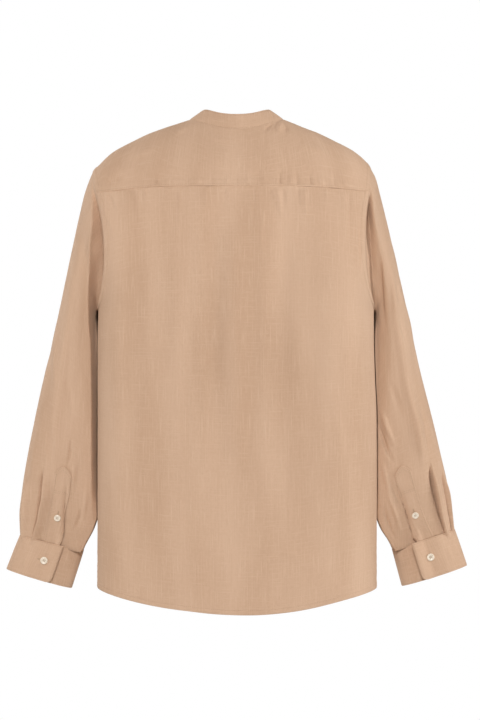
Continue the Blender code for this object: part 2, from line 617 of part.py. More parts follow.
def at(grid, row, column):
    """Points of a grid's flat faces at fractional rows and columns."""
    row, column = np.broadcast_arrays(np.asarray(row, float), np.asarray(column, float))
    i = np.clip(np.floor(row).astype(int), 0, grid.shape[0] - 2)
    j = np.clip(np.floor(column).astype(int), 0, grid.shape[1] - 2)
    u, v = (row - i)[..., None], (column - j)[..., None]
    near = grid[i, j] * (1 - v) + grid[i, j + 1] * v
    return near + (grid[i + 1, j] * (1 - v) + grid[i + 1, j + 1] * v - near) * u


def front_placket_grid():
    """A strip down the left front's edge, from the neck to the hem."""
    front = front_grid(LEFT)
    rows = np.arange(front.shape[0])
    edge = [np.interp(FRONT_PLACKET_EDGE, line[:, 0], np.arange(len(line))) for line in front]
    column = np.linspace(0, 1, STRIP_COLUMNS + 1) * np.array(edge)[:, None]
    grid = moved_out(at(front, rows[:, None], column), np.full(column.shape, LAYER))
    return trimmed(grid, last_row=PLACKET_BELOW_COLLAR)


def lengths_along(line):
    """The distance from a line's first point to each of its points, along it."""
    return np.concatenate([[0], np.cumsum(np.linalg.norm(np.diff(line, axis=0), axis=1))])


def sleeve_placket_grid(side):
    """A strip up the back of the sleeve from the cuff, pointed at its top."""
    sleeve = sleeve_grid(side)
    last_row = sleeve.shape[0] - 1.0
    turn = sleeve_turns(side)
    top_turn, cuff_turn = PLACKET_TURN[side]
    share = np.linspace(0, 1, STRIP_ROWS + 1)
    centres = np.interp(-(cuff_turn + (top_turn - cuff_turn) * share), -turn, np.arange(len(turn)))
    climbed = lengths_along(at(sleeve, np.arange(sleeve.shape[0]), centres[0])[::-1])
    across_share = np.linspace(-1, 1, STRIP_COLUMNS + 1)
    length = PLACKET_LENGTH - PLACKET_POINT * np.abs(across_share) ** PLACKET_POINT_CURVE
    lines = []
    for up, centre in zip(share[:, None] * length, centres, strict=True):
        rows = last_row - np.interp(up, climbed, np.arange(len(climbed)))
        columns = centre + np.linspace(-PLACKET_SEARCH, PLACKET_SEARCH, 40 * PLACKET_SEARCH + 1)
        reach = lengths_along(at(sleeve, rows[STRIP_COLUMNS // 2], columns))
        reach -= reach[len(reach) // 2]
        lines.append(at(sleeve, rows, np.interp(across_share * PLACKET_HALF, reach, columns)))
    grid = np.array(lines)
    grid = moved_out(grid, np.full(grid.shape[:2], -side * PLACKET_LAYER))
    return trimmed(grid, first_row=PLACKET_ABOVE_CUFF)


def button_mesh():
    """A dished disc with four holes, face up, with its underside at its origin."""
    profile = (
        (0.0, 0.0),
        (0.80 * BUTTON_R, 0.0),
        (BUTTON_R, 0.45 * BUTTON_T),
        (0.92 * BUTTON_R, BUTTON_T),
        (0.72 * BUTTON_R, BUTTON_T),
        (0.58 * BUTTON_R, BUTTON_T - BUTTON_DISH),
        (0.0, BUTTON_T - BUTTON_DISH),
    )
    shape = bmesh.new()
    line = [shape.verts.new((radius, 0, z)) for radius, z in profile]
    for start, stop in zip(line, line[1:]):
        shape.edges.new((start, stop))
    outline = shape.verts[:] + shape.edges[:]
    up = (0, 0, 1)
    bmesh.ops.spin(shape, geom=outline, axis=up, cent=(0, 0, 0), angle=math.tau, steps=BUTTON_SIDES)
    bmesh.ops.remove_doubles(shape, verts=shape.verts, dist=1e-6)
    bmesh.ops.recalc_face_normals(shape, faces=shape.faces)
    disc = bpy.data.meshes.new("button_disc")
    shape.to_mesh(disc)
    shape.free()
    blank = bpy.data.objects.new("button_blank", disc)
    drill = bmesh.new()
    for x in (-HOLE_PITCH, HOLE_PITCH):
        for y in (-HOLE_PITCH, HOLE_PITCH):
            bmesh.ops.create_cone(
                drill,
                cap_ends=True,
                segments=HOLE_SIDES,
                radius1=HOLE_R,
                radius2=HOLE_R,
                depth=4 * BUTTON_T,
                matrix=Matrix.Translation((x, y, 0)),
            )
    holes = bpy.data.meshes.new("button_holes")
    drill.to_mesh(holes)
    drill.free()
    cutter = bpy.data.objects.new("button_cutter", holes)
    for piece in (blank, cutter):
        bpy.context.scene.collection.objects.link(piece)
    cut = blank.modifiers.new("holes", "BOOLEAN")
    cut.object, cut.operation, cut.solver = cutter, "DIFFERENCE", "EXACT"
    bpy.context.view_layer.update()
    mesh = bpy.data.meshes.new_from_object(blank.evaluated_get(bpy.context.evaluated_depsgraph_get()))
    for piece in (blank, cutter):
        bpy.data.objects.remove(piece)
    return mesh


def sew_on(name, mesh, grid, row, column, outward, shirt, size=1.0):
    """A button on a grid's cloth, flat against it, at a fractional row and column."""
    step = 0.05
    place = at(grid, row, column)
    along = at(grid, row, column + step) - at(grid, row, column - step)
    up = at(grid, row + step, column) - at(grid, row - step, column)
    normal = np.cross(along, up) * outward
    normal /= np.linalg.norm(normal)
    own = mesh.copy()
    own.name = name
    own.shade_smooth()
    own.set_sharp_from_angle(angle=math.radians(40))
    own.materials.append(material(name, BUTTON_COLOUR, 0.35))
    button = bpy.data.objects.new(name, own)
    turned = Vector(normal).to_track_quat("Z", "Y").to_matrix().to_4x4()
    place = place + normal * (CLOTH / 2 + BUTTON_GAP)
    button.matrix_world = Matrix.Translation(place) @ turned @ Matrix.Diagonal((size, size, size, 1))
    shirt.objects.link(button)


def main():
    for old in list(bpy.data.objects):
        bpy.data.objects.remove(old)
    shirt = bpy.data.collections.new("mandarin_collar_shirt")
    bpy.context.scene.collection.children.link(shirt)
    mesh = button_mesh()
    cloth("back", back_grid(), shirt)
    cloth("yoke", yoke_grid(), shirt)
    cloth("front_left", front_grid(LEFT), shirt)
    cloth("front_right", front_grid(RIGHT), shirt)

    placket = front_placket_grid()
    cloth("front_placket", placket, shirt)
    middle = [np.interp(0, line[:, 0], np.arange(len(line))) for line in placket]
    middle_z = [at(placket, row, column)[2] for row, column in enumerate(middle)]
    for n in range(BUTTON_COUNT):
        row = np.interp(FIRST_BUTTON_Z - n * BUTTON_SPACING, middle_z, np.arange(len(middle)))
        column = np.interp(row, np.arange(len(middle)), middle)
        sew_on(f"front_button_{n + 1}", mesh, placket, row, column, 1, shirt)

    collar = collar_grid()
    cloth("collar", collar, shirt)
    end = collar[COLLAR_ROWS // 2, -NECK_COLUMNS:]
    column = collar.shape[1] + np.interp(0, -end[:, 0], np.arange(-NECK_COLUMNS, 0))
    sew_on("collar_button", mesh, collar, COLLAR_ROWS / 2, column, -1, shirt)

    for side, word in ((LEFT, "left"), (RIGHT, "right")):
        cloth(f"sleeve_{word}", sleeve_grid(side), shirt, closed=True)
        strip = sleeve_placket_grid(side)
        cloth(f"sleeve_placket_{word}", strip, shirt)
        row = PLACKET_BUTTON_UP / PLACKET_LENGTH * STRIP_ROWS
        sew_on(f"placket_button_{word}", mesh, strip, row, STRIP_COLUMNS / 2, -side, shirt, SMALL_BUTTON)
        cuff = cuff_grid(side)
        cloth(f"cuff_{word}", cuff, shirt)
        column = (CUFF_BUTTON_TURN - CUFF_START) / (CUFF_STOP - CUFF_START) * CUFF_COLUMNS
        sew_on(f"cuff_button_{word}", mesh, cuff, CUFF_BUTTON_DOWN * CUFF_ROWS, column, -side, shirt)


main()
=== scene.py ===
"""Sand linen mandarin collar shirt in its worn shape: the finish of every piece, round its solids.

Metres, +Z up. The shirt faces -Y and the wearer's left is +X. The origin is the middle of the neck
opening, level with the shoulder seams beside it. Each cloth is a fine grid bent to its solid's
surface, with its folds, seams and puckers raised on it, and then given the wall of real cloth. The
sleeves leave their solids in one place: the hollow behind each armhole, which only the cloth has.
"""

import math

import bmesh
import bpy
import numpy as np
from mathutils import Matrix, Vector

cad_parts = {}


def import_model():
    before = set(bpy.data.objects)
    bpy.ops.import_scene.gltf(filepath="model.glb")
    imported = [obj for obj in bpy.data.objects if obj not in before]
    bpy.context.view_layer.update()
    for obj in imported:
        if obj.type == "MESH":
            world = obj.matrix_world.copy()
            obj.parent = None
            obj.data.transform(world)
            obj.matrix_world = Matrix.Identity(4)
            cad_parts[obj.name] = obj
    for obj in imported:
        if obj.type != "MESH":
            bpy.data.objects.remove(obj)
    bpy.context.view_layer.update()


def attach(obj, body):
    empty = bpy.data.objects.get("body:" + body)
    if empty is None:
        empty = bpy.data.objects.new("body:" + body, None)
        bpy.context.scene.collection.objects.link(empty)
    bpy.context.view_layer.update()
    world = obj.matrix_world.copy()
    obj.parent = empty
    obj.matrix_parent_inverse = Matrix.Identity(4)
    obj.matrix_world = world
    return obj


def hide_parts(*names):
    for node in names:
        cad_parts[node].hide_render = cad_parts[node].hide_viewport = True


def in_metres(table, others=0):
    """A table in metres that was written in millimetres, but for its last columns, which aren't lengths."""
    table = np.array(table, float)
    table[..., : table.shape[-1] - others] /= 1000
    return table.round(6)


LEFT, RIGHT = 1, -1
BACK, FRONT = 1, -1
FIRST_ROW, LAST_ROW, FIRST_COLUMN, LAST_COLUMN = (0, 1), (0, -1), (1, 1), (1, -1)  # of a grid
SIDES = (FIRST_COLUMN, LAST_COLUMN)
SIDE_NAMES = {LEFT: "left", RIGHT: "right"}

# ---------------------------------------------------------------- the shirt's form

LAYER = 0.0017  # between the middles of two layers of cloth

Z, LEFT_HALF, RIGHT_HALF, BACK_DEPTH, FRONT_DEPTH, SQUARE = range(6)
TORSO = in_metres((
    (-790, 220, 221.8, 123, 115, 2.8),
    (-600, 220, 221.8, 117, 113, 3),
    (-460, 219.7, 221.5, 115, 115, 3.3),
    (-400, 219.5, 219, 116, 117, 3.4),
    (-330, 219.3, 217, 118.5, 119.5, 3.5),
    (-290, 218.5, 217, 119, 120, 3.45),
    (-240, 226, 221, 118, 119, 3.3),
    (-180, 232, 225, 113, 115, 3),
    (-140, 233.5, 224.5, 106, 109, 2.7),
    (-100, 233.5, 222.5, 95, 100, 2.4),
    (-71, 227.5, 215, 83, 90, 2.2),
    (-59, 217, 208.5, 77, 85, 2.12),
    (-40, 196.5, 188.5, 65, 74, 2.08),
    (-21, 161.5, 153.5, 52, 60, 2.04),
    (-10, 138.5, 131, 44, 52, 2),
    (-2, 116.5, 111, 38.5, 45, 2),
    (9.5, 82.5, 82, 31, 35, 2),
    (12.7, 73, 74, 28, 32, 2),
    (30, 35, 42, 20, 22, 2),
    (45, 1, 1, 10, 10, 2),
), others=1)

TIP_Z = {LEFT: -0.0705, RIGHT: -0.0640}
UNDERARM_Z = -0.290
ARMHOLE_INSET = {
    (LEFT, BACK): 0.026,
    (RIGHT, BACK): 0.025,
    (LEFT, FRONT): 0.036,
    (RIGHT, FRONT): 0.036,
}
ARMHOLE_TURN = math.radians(132)
EDGE_PULL = 3

YOKE_BACK_Z = -0.0965
YOKE_END_DROP, YOKE_END_X, YOKE_END_CURVE = 0.0100, 0.219, 6
YOKE_FRONT_DROP = 0.024
YOKE_SEAM_REACH = 0.9
SHOULDER_SHARE = 5 / 22  # of the yoke's width, from an armhole to the neck
SHOULDER_FADE = 3 / 44  # of its width, over which it comes away from the armhole's curve
NECK_COLUMN_SPREAD = 0.4

NECK_SIDE, NECK_BACK_Z, NECK_FRONT_Z = 0.0740, -0.005, -0.070
NECK_SQUARE_BACK, NECK_SQUARE_FRONT = 2.0, 2.5
NECK_FRONT_WIDEN = 1.02
NECK_SHARE = 6 / 11  # of a front's width, from its edge to the yoke's corner
STRAIGHT_SHARE, SPREAD_SHARE = 0.15, 0.35

COLLAR_HEIGHT = 0.0266
COLLAR_LEAN = (0.40, 0.82, -0.02)

HEM_BACK_Z, HEM_FRONT_Z, HEM_SIDE_Z = -0.7635, -0.7530, -0.7285
HEM_CURVE = 2.1
HEM_WAVES = in_metres(  # places across, and how far the real hem lies off the even curve there
    ((-222, 0), (-165, 1.6), (-90, -0.4), (-35, -1), (30, 0.4), (80, 2), (150, 1.4), (221, 0))
)

LAP = 0.0175
LAP_FULL, LAP_END = 0.0300, 0.0550
FRONT_PLACKET_EDGE = 0.0165
BUTTON_COUNT, FIRST_BUTTON_Z, BUTTON_SPACING = 7, -0.1300, 0.0850

# Rings down each sleeve: its outer and inner side, and then the reach behind and in front, which both share
OUT_X, OUT_Z, IN_X, IN_Z, REACH_BACK, REACH_FRONT, RING_SQUARE = range(7)
SLEEVE = {
    LEFT: (
        (227.5, -70.5, 220, -290.5),
        (234.5, -85, 223.5, -293),
        (242, -105, 224.5, -300),
        (250, -138, 224.5, -313),
        (261.5, -190, 224, -336),
        (275.5, -255, 223, -370),
        (290, -322, 220, -415),
        (306.5, -392, 215, -465),
        (322, -462, 211, -516),
        (335, -526, 212, -562),
        (344, -580, 217.5, -604),
        (348, -618, 228, -638),
        (347.5, -641, 240, -661),
        (346, -650, 246.5, -674),
    ),
    RIGHT: (
        (211.5, -64, 218.5, -290.5),
        (220.5, -79, 221.5, -293),
        (227, -100, 222.5, -300),
        (236.5, -135, 222.5, -313),
        (249, -188, 222, -336),
        (264, -253, 221.5, -370),
        (278.5, -320, 219.5, -415),
        (294, -388, 215, -465),
        (312.5, -460, 211, -516),
        (328, -523, 212, -562),
        (340, -577, 219, -604),
        (346, -613, 231, -638),
        (348.5, -632, 244, -659),
        (349, -641, 251, -671.5),
    ),
}
SLEEVE_SECTION = (
    (46, -74, 2.2),
    (40, -80, 2.2),
    (35, -87, 2.3),
    (33, -94, 2.4),
    (33, -100, 2.5),
    (33, -102, 2.6),
    (31, -101, 2.6),
    (27, -98, 2.6),
    (21, -95, 2.6),
    (12, -92, 2.5),
    (2, -88, 2.4),
    (-7, -82, 2.3),
    (-14, -77, 2.2),
    (-17, -75, 2.2),
)
CAP_BLEND = 0.11
BODY_CLEARANCE = 0.0026
UNDERARM_OUT, UNDERARM_TURNS, UNDERARM_SHARE = 0.0018, (110, 150), 0.02

CUFF = {
    LEFT: (368, -704.5, 265.5, -734.5, -16, -76, 2.2),
    RIGHT: (369, -698.5, 267, -731, -16, -76, 2.2),
}
CUFF_START, CUFF_LAP_FROM, CUFF_LAP_FULL, CUFF_STOP = 76, 408, 430, 472
CUFF_BUTTON_TURN, CUFF_BUTTON_DOWN = 449, 0.48
CUFF_DEEP, CUFF_COLUMNS = 0.058, 181
COLLAR_COLUMNS, COLLAR_END = 171, 40  # in all, and at its end over the middle, where its button is

PLACKET_HALF, PLACKET_LENGTH, PLACKET_POINT = 0.0128, 0.1300, 0.0120
PLACKET_POINT_CURVE = 1.5
PLACKET_COLUMNS = np.linspace(-16, 16, 321)  # of the sleeve, searched for the placket's half width
PLACKET_STEPS = (0.0030, 0.0026)  # up and across
PLACKET_TURN = {LEFT: (90, 92), RIGHT: (97, 88)}
PLACKET_BUTTON_UP = 0.046

BUTTON_R, BUTTON_T, BUTTON_DISH = 0.0060, 0.0025, 0.0007
SMALL_BUTTON = 0.9
# Shares of the radius, the thickness and the dish's depth, from the middle below to the middle above
BUTTON_PROFILE = (
    (0, 0, 0),
    (0.78, 0, 0),
    (0.93, 0.16, 0),
    (1, 0.45, 0),
    (0.985, 0.78, 0),
    (0.92, 0.97, 0),
    (0.86, 1, 0),
    (0.76, 0.96, 0),
    (0.68, 1, 0.62),
    (0.58, 1, 1),
    (0, 1, 1),
)
HOLE_R, HOLE_PITCH = 0.0007, 0.0011

# ---------------------------------------------------------------- folds, creases and seams

# Soft flutes that hang down the back and the fronts: a place across, heights, half width and depth
PLACE, TOP, BOTTOM, HALF_SPREAD, DEEP = range(5)
BACK_FOLDS = (
    (0, -104, -780, 160, -7),
    (176, -104, -760, 44, 12),
    (56, -104, -640, 44, 8.5),
    (-38, -104, -620, 48, 10),
    (-150, -104, -700, 64, 11),
    (-186, -104, -760, 34, 5),
)
FRONT_FOLDS = (
    (122, -150, -560, 36, 4.4),
    (65, -230, -640, 22, 2.6),
    (-72, -190, -600, 30, 3.4),
    (-142, -150, -520, 36, 4.4),
)
# Folds round the sleeves: an angle and how far it turns, shares of the length, half angle and depth
ANGLE, TURN, START, END, HALF_ANGLE, FOLD_DEEP = range(6)
SLEEVE_FOLDS = {
    LEFT: (
        (62, 8, 0.3, 0.8, 17, 0.0030),
        (118, -6, 0.18, 0.72, 16, 0.0028),
        (300, 10, 0.25, 0.85, 20, 0.0038),
        (235, -8, 0.3, 0.8, 20, 0.0038),
    ),
    RIGHT: (
        (70, -8, 0.25, 0.8, 17, 0.0034),
        (122, -10, 0.45, 0.86, 15, 0.0034),
        (300, 10, 0.25, 0.85, 20, 0.0038),
        (235, -8, 0.3, 0.8, 20, 0.0038),
    ),
}

# Creases placed one by one: from a place to a place on the cloth as it is seen flat on, how far the
# middle of the crease bows aside, its half width, its height (a trough's is negative), and where
# along it that height lies, from 0 at its start to 1 at its end.
FROM_X, FROM_Z, TO_X, TO_Z, BOW, WIDE, HIGH, PEAK = range(8)
BACK_CREASES = (
    (169, -101, 160, -240, 3, 9, 1.3, 0.1),
    (153, -101, 150, -160, -2, 6, -1, 0.1),
    (142, -100, 146, -150, 2, 4, -0.8, 0.05),
    (107, -100, 104, -134, 0, 5, 0.6, 0.05),
    (90, -100, 94, -190, 3, 7, -0.7, 0.1),
    (47, -100, 52, -150, 2, 6, 0.6, 0.05),
    (14, -100, 20, -145, -2, 5, -0.6, 0.05),
    (-28, -100, -24, -175, 3, 6, -0.8, 0.08),
    (-45, -120, -40, -215, -4, 8, 0.9, 0.5),
    (-61, -100, -70, -172, 3, 6, 1.5, 0.1),
    (-74, -100, -72, -150, 1, 4, -0.9, 0.05),
    (-96, -100, -98, -139, 2, 4, -1.1, 0.05),
    (-108, -101, -114, -165, -3, 5, 1.1, 0.1),
    (-140, -101, -136, -150, 2, 6, 0.6, 0.05),
    (-166, -103, -170, -190, 2, 6, 1, 0.15),
    (-177, -104, -183, -250, -3, 3, -1.1, 0.1),
    (-187, -125, -190, -270, 2, 3, -1, 0.4),
    (-183, -110, -187, -260, 2, 3, 0.8, 0.4),
    (-188, -330, -184, -440, 3, 5, -0.7, 0.5),
    (203, -110, 188, -150, 3, 5, -1.2, 0.05),
    (209, -128, 190, -190, 4, 6, 1, 0.1),
    (150, -330, 142, -430, 4, 10, 0.7, 0.5),
    (60, -360, 50, -500, -6, 12, -0.8, 0.5),
    (-20, -430, -12, -560, 5, 12, 0.8, 0.5),
    (-90, -480, -82, -620, -4, 14, -0.9, 0.5),
    (-150, -420, -160, -560, 4, 12, 0.9, 0.5),
    (115, -520, 130, -660, 5, 14, -0.8, 0.5),
    (175, -560, 165, -700, 4, 14, -1.2, 0.6),
    (20, -640, 80, -700, -6, 10, 0.6, 0.5),
    (-60, -660, -120, -700, 5, 10, 0.6, 0.5),
    (190, -720, 110, -742, -4, 6, 0.7, 0.4),
    (-195, -716, -130, -738, 3, 6, 0.6, 0.4),
)
YOKE_CREASES = (
    (-57, 12, -41, -14, 1, 6, -1.5, 0.35),
    (-69, 12, -65, -16, 1, 5, 1.8, 0.5),
    (-78, 6, -76, -18, 1, 5, -0.8, 0.4),
    (70, 2, 105, -24, -3, 6, 0.8, 0.4),
    (50, -12, 0, -26, -4, 7, 0.6, 0.5),
    (-100, -30, -150, -58, 6, 8, 0.7, 0.5),
    (120, -34, 168, -60, -5, 8, 0.6, 0.5),
    (122, -96, 121, -70, 1, 4, -1.2, 0.1),
    (103, -97, 101, -77, 1, 4, 0.7, 0.1),
    (74, -97, 72, -76, -1, 3, -0.9, 0.1),
    (58, -97, 60, -66, 1, 4, 0.9, 0.1),
    (37, -97, 36, -74, 1, 3, -0.8, 0.1),
    (15, -97, 14, -72, 0, 4, 0.8, 0.1),
    (-4, -97, -1, -71, 1, 3, -0.7, 0.1),
    (-17, -97, -18, -69, 1, 4, 0.7, 0.1),
    (-33, -97, -32, -70, -1, 3, -0.9, 0.1),
    (-47, -97, -43, -60, 2, 5, 0.8, 0.1),
    (-69, -97, -71, -63, 1, 4, -1.2, 0.1),
    (-84, -97, -86, -60, -2, 6, 1.1, 0.1),
    (-97, -97, -95, -72, 1, 3, -1, 0.1),
    (-117, -97, -118, -64, 2, 4, -1.2, 0.1),
    (-133, -97, -131, -68, 1, 5, 1, 0.1),
    (-153, -98, -155, -70, 1, 4, -0.9, 0.1),
    (-172, -98, -166, -62, 3, 5, 1, 0.1),
    (205, -82, 196, -98, 2, 3, -1.4, 0.4),
    (196, -72, 199, -92, -2, 4, 1, 0.5),
    (186, -70, 187, -94, 1, 4, -0.9, 0.7),
)
FRONT_CREASES = {
    LEFT: (
        (75, -75, 100, -160, -5, 10, 1.2, 0.3),
        (120, -62, 140, -130, 4, 8, -1, 0.1),
        (150, -75, 158, -170, -4, 9, 1.2, 0.15),
        (185, -180, 130, -230, 8, 10, -1.2, 0.1),
        (190, -205, 120, -275, 10, 12, 1.3, 0.15),
        (205, -270, 130, -300, 6, 9, -1.1, 0.1),
        (90, -330, 96, -470, 5, 12, -1, 0.5),
        (160, -400, 150, -560, -6, 14, 1.2, 0.5),
        (55, -520, 62, -640, 4, 11, 0.9, 0.5),
        (120, -600, 135, -710, 5, 13, -1, 0.6),
        (22, -236, 60, -262, 3, 6, 0.7, 0.05),
        (22, -406, 64, -424, -4, 6, 0.7, 0.05),
    ),
    RIGHT: (
        (-70, -78, -92, -150, 5, 10, 1.2, 0.3),
        (-112, -60, -128, -140, -4, 8, -1, 0.1),
        (-146, -73, -160, -180, 4, 9, 1.2, 0.15),
        (-183, -190, -125, -222, -8, 10, -1.2, 0.1),
        (-186, -214, -110, -286, -10, 12, 1.3, 0.15),
        (-203, -262, -140, -310, -6, 9, -1.1, 0.1),
        (-105, -350, -98, -500, -5, 12, -1, 0.5),
        (-165, -380, -156, -520, 6, 14, 1.2, 0.5),
        (-50, -470, -58, -620, -4, 11, 0.9, 0.5),
        (-125, -610, -140, -705, -5, 13, -1, 0.6),
        (-30, -321, -74, -345, -3, 6, 0.7, 0.1),
        (-30, -576, -70, -590, 4, 6, 0.7, 0.1),
    ),
}
# On the half of each sleeve that faces back, and on the half that faces front
SLEEVE_CREASES = {
    (LEFT, BACK): (
        (267.5, -545, 279.5, -664, 0, 5.5, -3, 0.8),
        (282, -300, 286, -430, -4, 7, 1.3, 0.5),
        (296, -330, 303, -440, 3, 9, -1.2, 0.5),
        (262, -200, 268, -330, 3, 10, 1, 0.5),
        (246, -150, 244, -290, 4, 10, -1, 0.4),
        (262, -486, 268, -540, 2, 4, -1.3, 0.6),
        (252, -520, 259, -590, -3, 6, 1.2, 0.5),
        (300, -460, 296, -545, 3, 9, -1.2, 0.6),
        (322, -480, 330, -580, 3, 8, 1.1, 0.6),
        (245, -600, 262, -645, 3, 6, -1, 0.5),
        (238, -560, 248, -630, 3, 5, 0.8, 0.5),
        (270, -390, 262, -470, 4, 8, -0.9, 0.5),
    ),
    (RIGHT, BACK): (
        (-252, -560, -290.5, -664, 0, 6, -4, 0.8),
        (-226, -175, -238, -335, -4, 6, -2.2, 0.5),
        (-240, -200, -252, -320, 3, 7, 1.5, 0.5),
        (-246, -230, -262, -300, 2, 5, -1, 0.5),
        (-256, -285, -272, -350, -3, 5, -1.1, 0.5),
        (-262, -270, -281, -352, 3, 5, 1, 0.5),
        (-272, -335, -288, -410, 3, 5, -1, 0.5),
        (-224, -462, -250, -535, -3, 5, -3, 0.5),
        (-228, -440, -254, -512, -3, 6, 2.2, 0.5),
        (-240, -400, -262, -470, 4, 8, -1.2, 0.5),
        (-268, -400, -298, -545, 4, 9, 2.2, 0.6),
        (-284, -410, -306, -520, 3, 6, -1.2, 0.7),
        (-236, -575, -264, -655, 3, 5, 1.8, 0.5),
        (-232, -590, -256, -660, -3, 4, -1.6, 0.5),
        (-246, -560, -270, -620, -2, 5, -1.4, 0.5),
        (-226, -520, -244, -600, 3, 6, 1.3, 0.5),
    ),
    (LEFT, FRONT): (
        (236, -170, 262, -300, 5, 10, -1.6, 0.4),
        (252, -150, 276, -290, 5, 9, 1.5, 0.4),
        (236, -410, 286, -450, 6, 9, 2, 0.4),
        (232, -430, 290, -480, 6, 8, -2.2, 0.4),
        (240, -470, 300, -500, -5, 9, 1.7, 0.4),
        (310, -420, 262, -520, 6, 9, -1.4, 0.5),
        (290, -340, 240, -390, 5, 9, 1.3, 0.5),
        (318, -560, 330, -640, 3, 7, 1.4, 0.8),
        (286, -560, 296, -650, 3, 7, -1.4, 0.8),
        (256, -560, 270, -650, -3, 7, 1.2, 0.8),
    ),
    (RIGHT, FRONT): (
        (-232, -160, -258, -290, -5, 10, -1.6, 0.4),
        (-246, -150, -270, -300, -5, 9, 1.5, 0.4),
        (-234, -390, -280, -440, -6, 9, 2, 0.4),
        (-232, -415, -286, -462, -6, 8, -2.2, 0.4),
        (-238, -450, -292, -492, 5, 9, 1.7, 0.4),
        (-300, -430, -256, -510, -6, 9, -1.4, 0.5),
        (-280, -330, -236, -370, -5, 9, 1.3, 0.5),
        (-316, -550, -332, -630, -3, 7, 1.4, 0.8),
        (-290, -555, -300, -645, -3, 7, -1.4, 0.8),
        (-258, -560, -274, -650, 3, 7, 1.2, 0.8),
    ),
}

# The hollow behind each armhole and down along the body, where the back of the sleeve folds in from its
# ridge to the body: at heights, the ridge's and the body's distance from the middle, and its depth.
RIDGE_X, BODY_X, HOLLOW_DEPTH = 1, 2, 3
HOLLOWS = {
    LEFT: (
        (-635, 229, 215, 0),
        (-600, 229, 218, 8),
        (-575, 230, 220, 20),
        (-510, 230, 220, 30),
        (-430, 230, 220, 32),
        (-353, 230.5, 220, 36),
        (-305, 233.7, 219.4, 42),
        (-273.5, 234.5, 214.7, 48),
        (-233.7, 232.9, 209.9, 54),
        (-194, 231.3, 207.5, 54),
        (-154.2, 228.2, 209.9, 46),
        (-114.5, 228, 214.7, 28),
        (-98.6, 228.5, 217.8, 17),
        (-86, 228.5, 221.5, 8),
        (-76, 228.5, 224, 0),
    ),
    RIGHT: (
        (-635, 240, 215, 0),
        (-575, 240, 220, 2),
        (-510, 243, 220, 5),
        (-432.5, 245, 219.4, 8),
        (-353, 244, 218.6, 12),
        (-273.5, 240, 212.3, 24),
        (-233.7, 234, 211.5, 33),
        (-194, 228, 210, 36),
        (-154.2, 221, 208.3, 36),
        (-114.5, 215, 205.9, 33),
        (-98.6, 213, 205.5, 25),
        (-86, 212, 206, 14),
        (-76, 211, 208, 4),
        (-68, 210.5, 208.5, 0),
    ),
}
HOLLOW_FALL = {LEFT: 0.95, RIGHT: 0.85}  # share of its width over which it falls from the ridge
RIDGE_LEVEL = {LEFT: (0.88, 0.88), RIGHT: (0.20, 0.95)}  # of the sleeve's back, above and below the underarm
LEVEL_EASE = 0.080
HOLLOW_CURVE = {LEFT: 1.0, RIGHT: 1.7}  # 1 falls straight from a sharp ridge, and more from a soft one
HOLLOW_START = 0.008  # share of the sleeve's length over which it deepens from the armhole

# Pleats into the cuffs: where each runs, as turns round the sleeve at shares of its length
PLEATS = {
    LEFT: (
        ((0.760, 61), (0.850, 66), (0.925, 64), (1.000, 57)),
        ((0.800, 36), (0.925, 36), (1.000, 31)),
    ),
    RIGHT: (
        ((0.755, 51), (0.850, 53), (0.925, 52), (1.000, 48)),
        ((0.790, 27), (0.925, 29), (1.000, 27)),
    ),
}
COLLAR_CREASES = (
    (110, 4, 150, 16, 2, 6, 0.7, 0.5),
    (205, 4, 196, 22, 1, 6, -0.8, 0.4),
    (290, 10, 330, 18, 2, 7, 0.6, 0.5),
)
CUFF_CREASES = {
    LEFT: (
        (290, -690, 296, -734, 3, 6, -0.9, 0.6),
        (330, -676, 338, -706, -3, 6, 0.8, 0.5),
        (276, -668, 268, -700, 3, 6, 0.8, 0.5),
    ),
    RIGHT: (
        (-286, -690, -280, -728, 3, 6, -0.9, 0.6),
        (-330, -660, -344, -700, 3, 6, 0.8, 0.5),
        (-262, -664, -268, -700, -3, 6, 1, 0.5),
    ),
}
PLEAT_HIGH = {LEFT: (0.0090, 0.0078), RIGHT: (0.0080, 0.0056)}  # at their highest, the first and the second
PLEAT_GROW, PLEAT_SETTLE = 0.40, 0.30  # share of a pleat's length over which it comes up, and its loss after
PLEAT_NARROW = 0.72  # share of its width that the dip beside the fold has lost at the cuff
PLEAT_WAY = {LEFT: 1, RIGHT: -1}  # 1 where the cloth by the placket lies over, and -1 where it lies under
# Degrees over which the cloth over and under the fold comes level
PLEAT_RISE, PLEAT_FALL = 13, {LEFT: 9, RIGHT: 11}
PLEAT_STEP, PLEAT_DROP = 1.3, 3.4  # degrees over which the fold steps down, and how far, in heights

# Seams, as distances from a piece's edge
EDGE = (0.0, 0.0004, 0.0009, 0.0013, 0.0017, 0.0022, 0.0030, 0.0042, 0.0058, 0.0068, 0.0080, 0.0096, 0.0120)
LAP_OVER = 0.0008  # a piece that lies over its neighbour passes the seam by this
LAP_UP, LAP_DOWN = 0.00055, 0.00055  # the upper piece rises and the lower one dips by these
# The sleeve's inside lies on the body: by how much, and at what turn and height it does most
HUG, HUG_TURN, HUG_WIDE, HUG_Z, HUG_SPREAD = 0.0120, -160, 55, -0.370, 0.090
ALLOWANCE = 0.0080  # width of the doubled cloth inside a seam
TUCK, TUCK_DIP, TUCK_STEPS = 0.0040, 0.0008, ((0.25, 0.5), (0.6, 0.9), (1.0, 1.0))  # shares out and down
FOLD_REACH, FOLD_DIP = 0.0006, 0.0011  # of a folded edge, which turns in at once
EDGE_STITCH = 0.0015  # from an edge to its line of stitches
HEM_FOLD = 0.0072
GROOVE, GROOVE_HALF = 0.00030, 0.0010  # the dent that a line of stitches pulls in

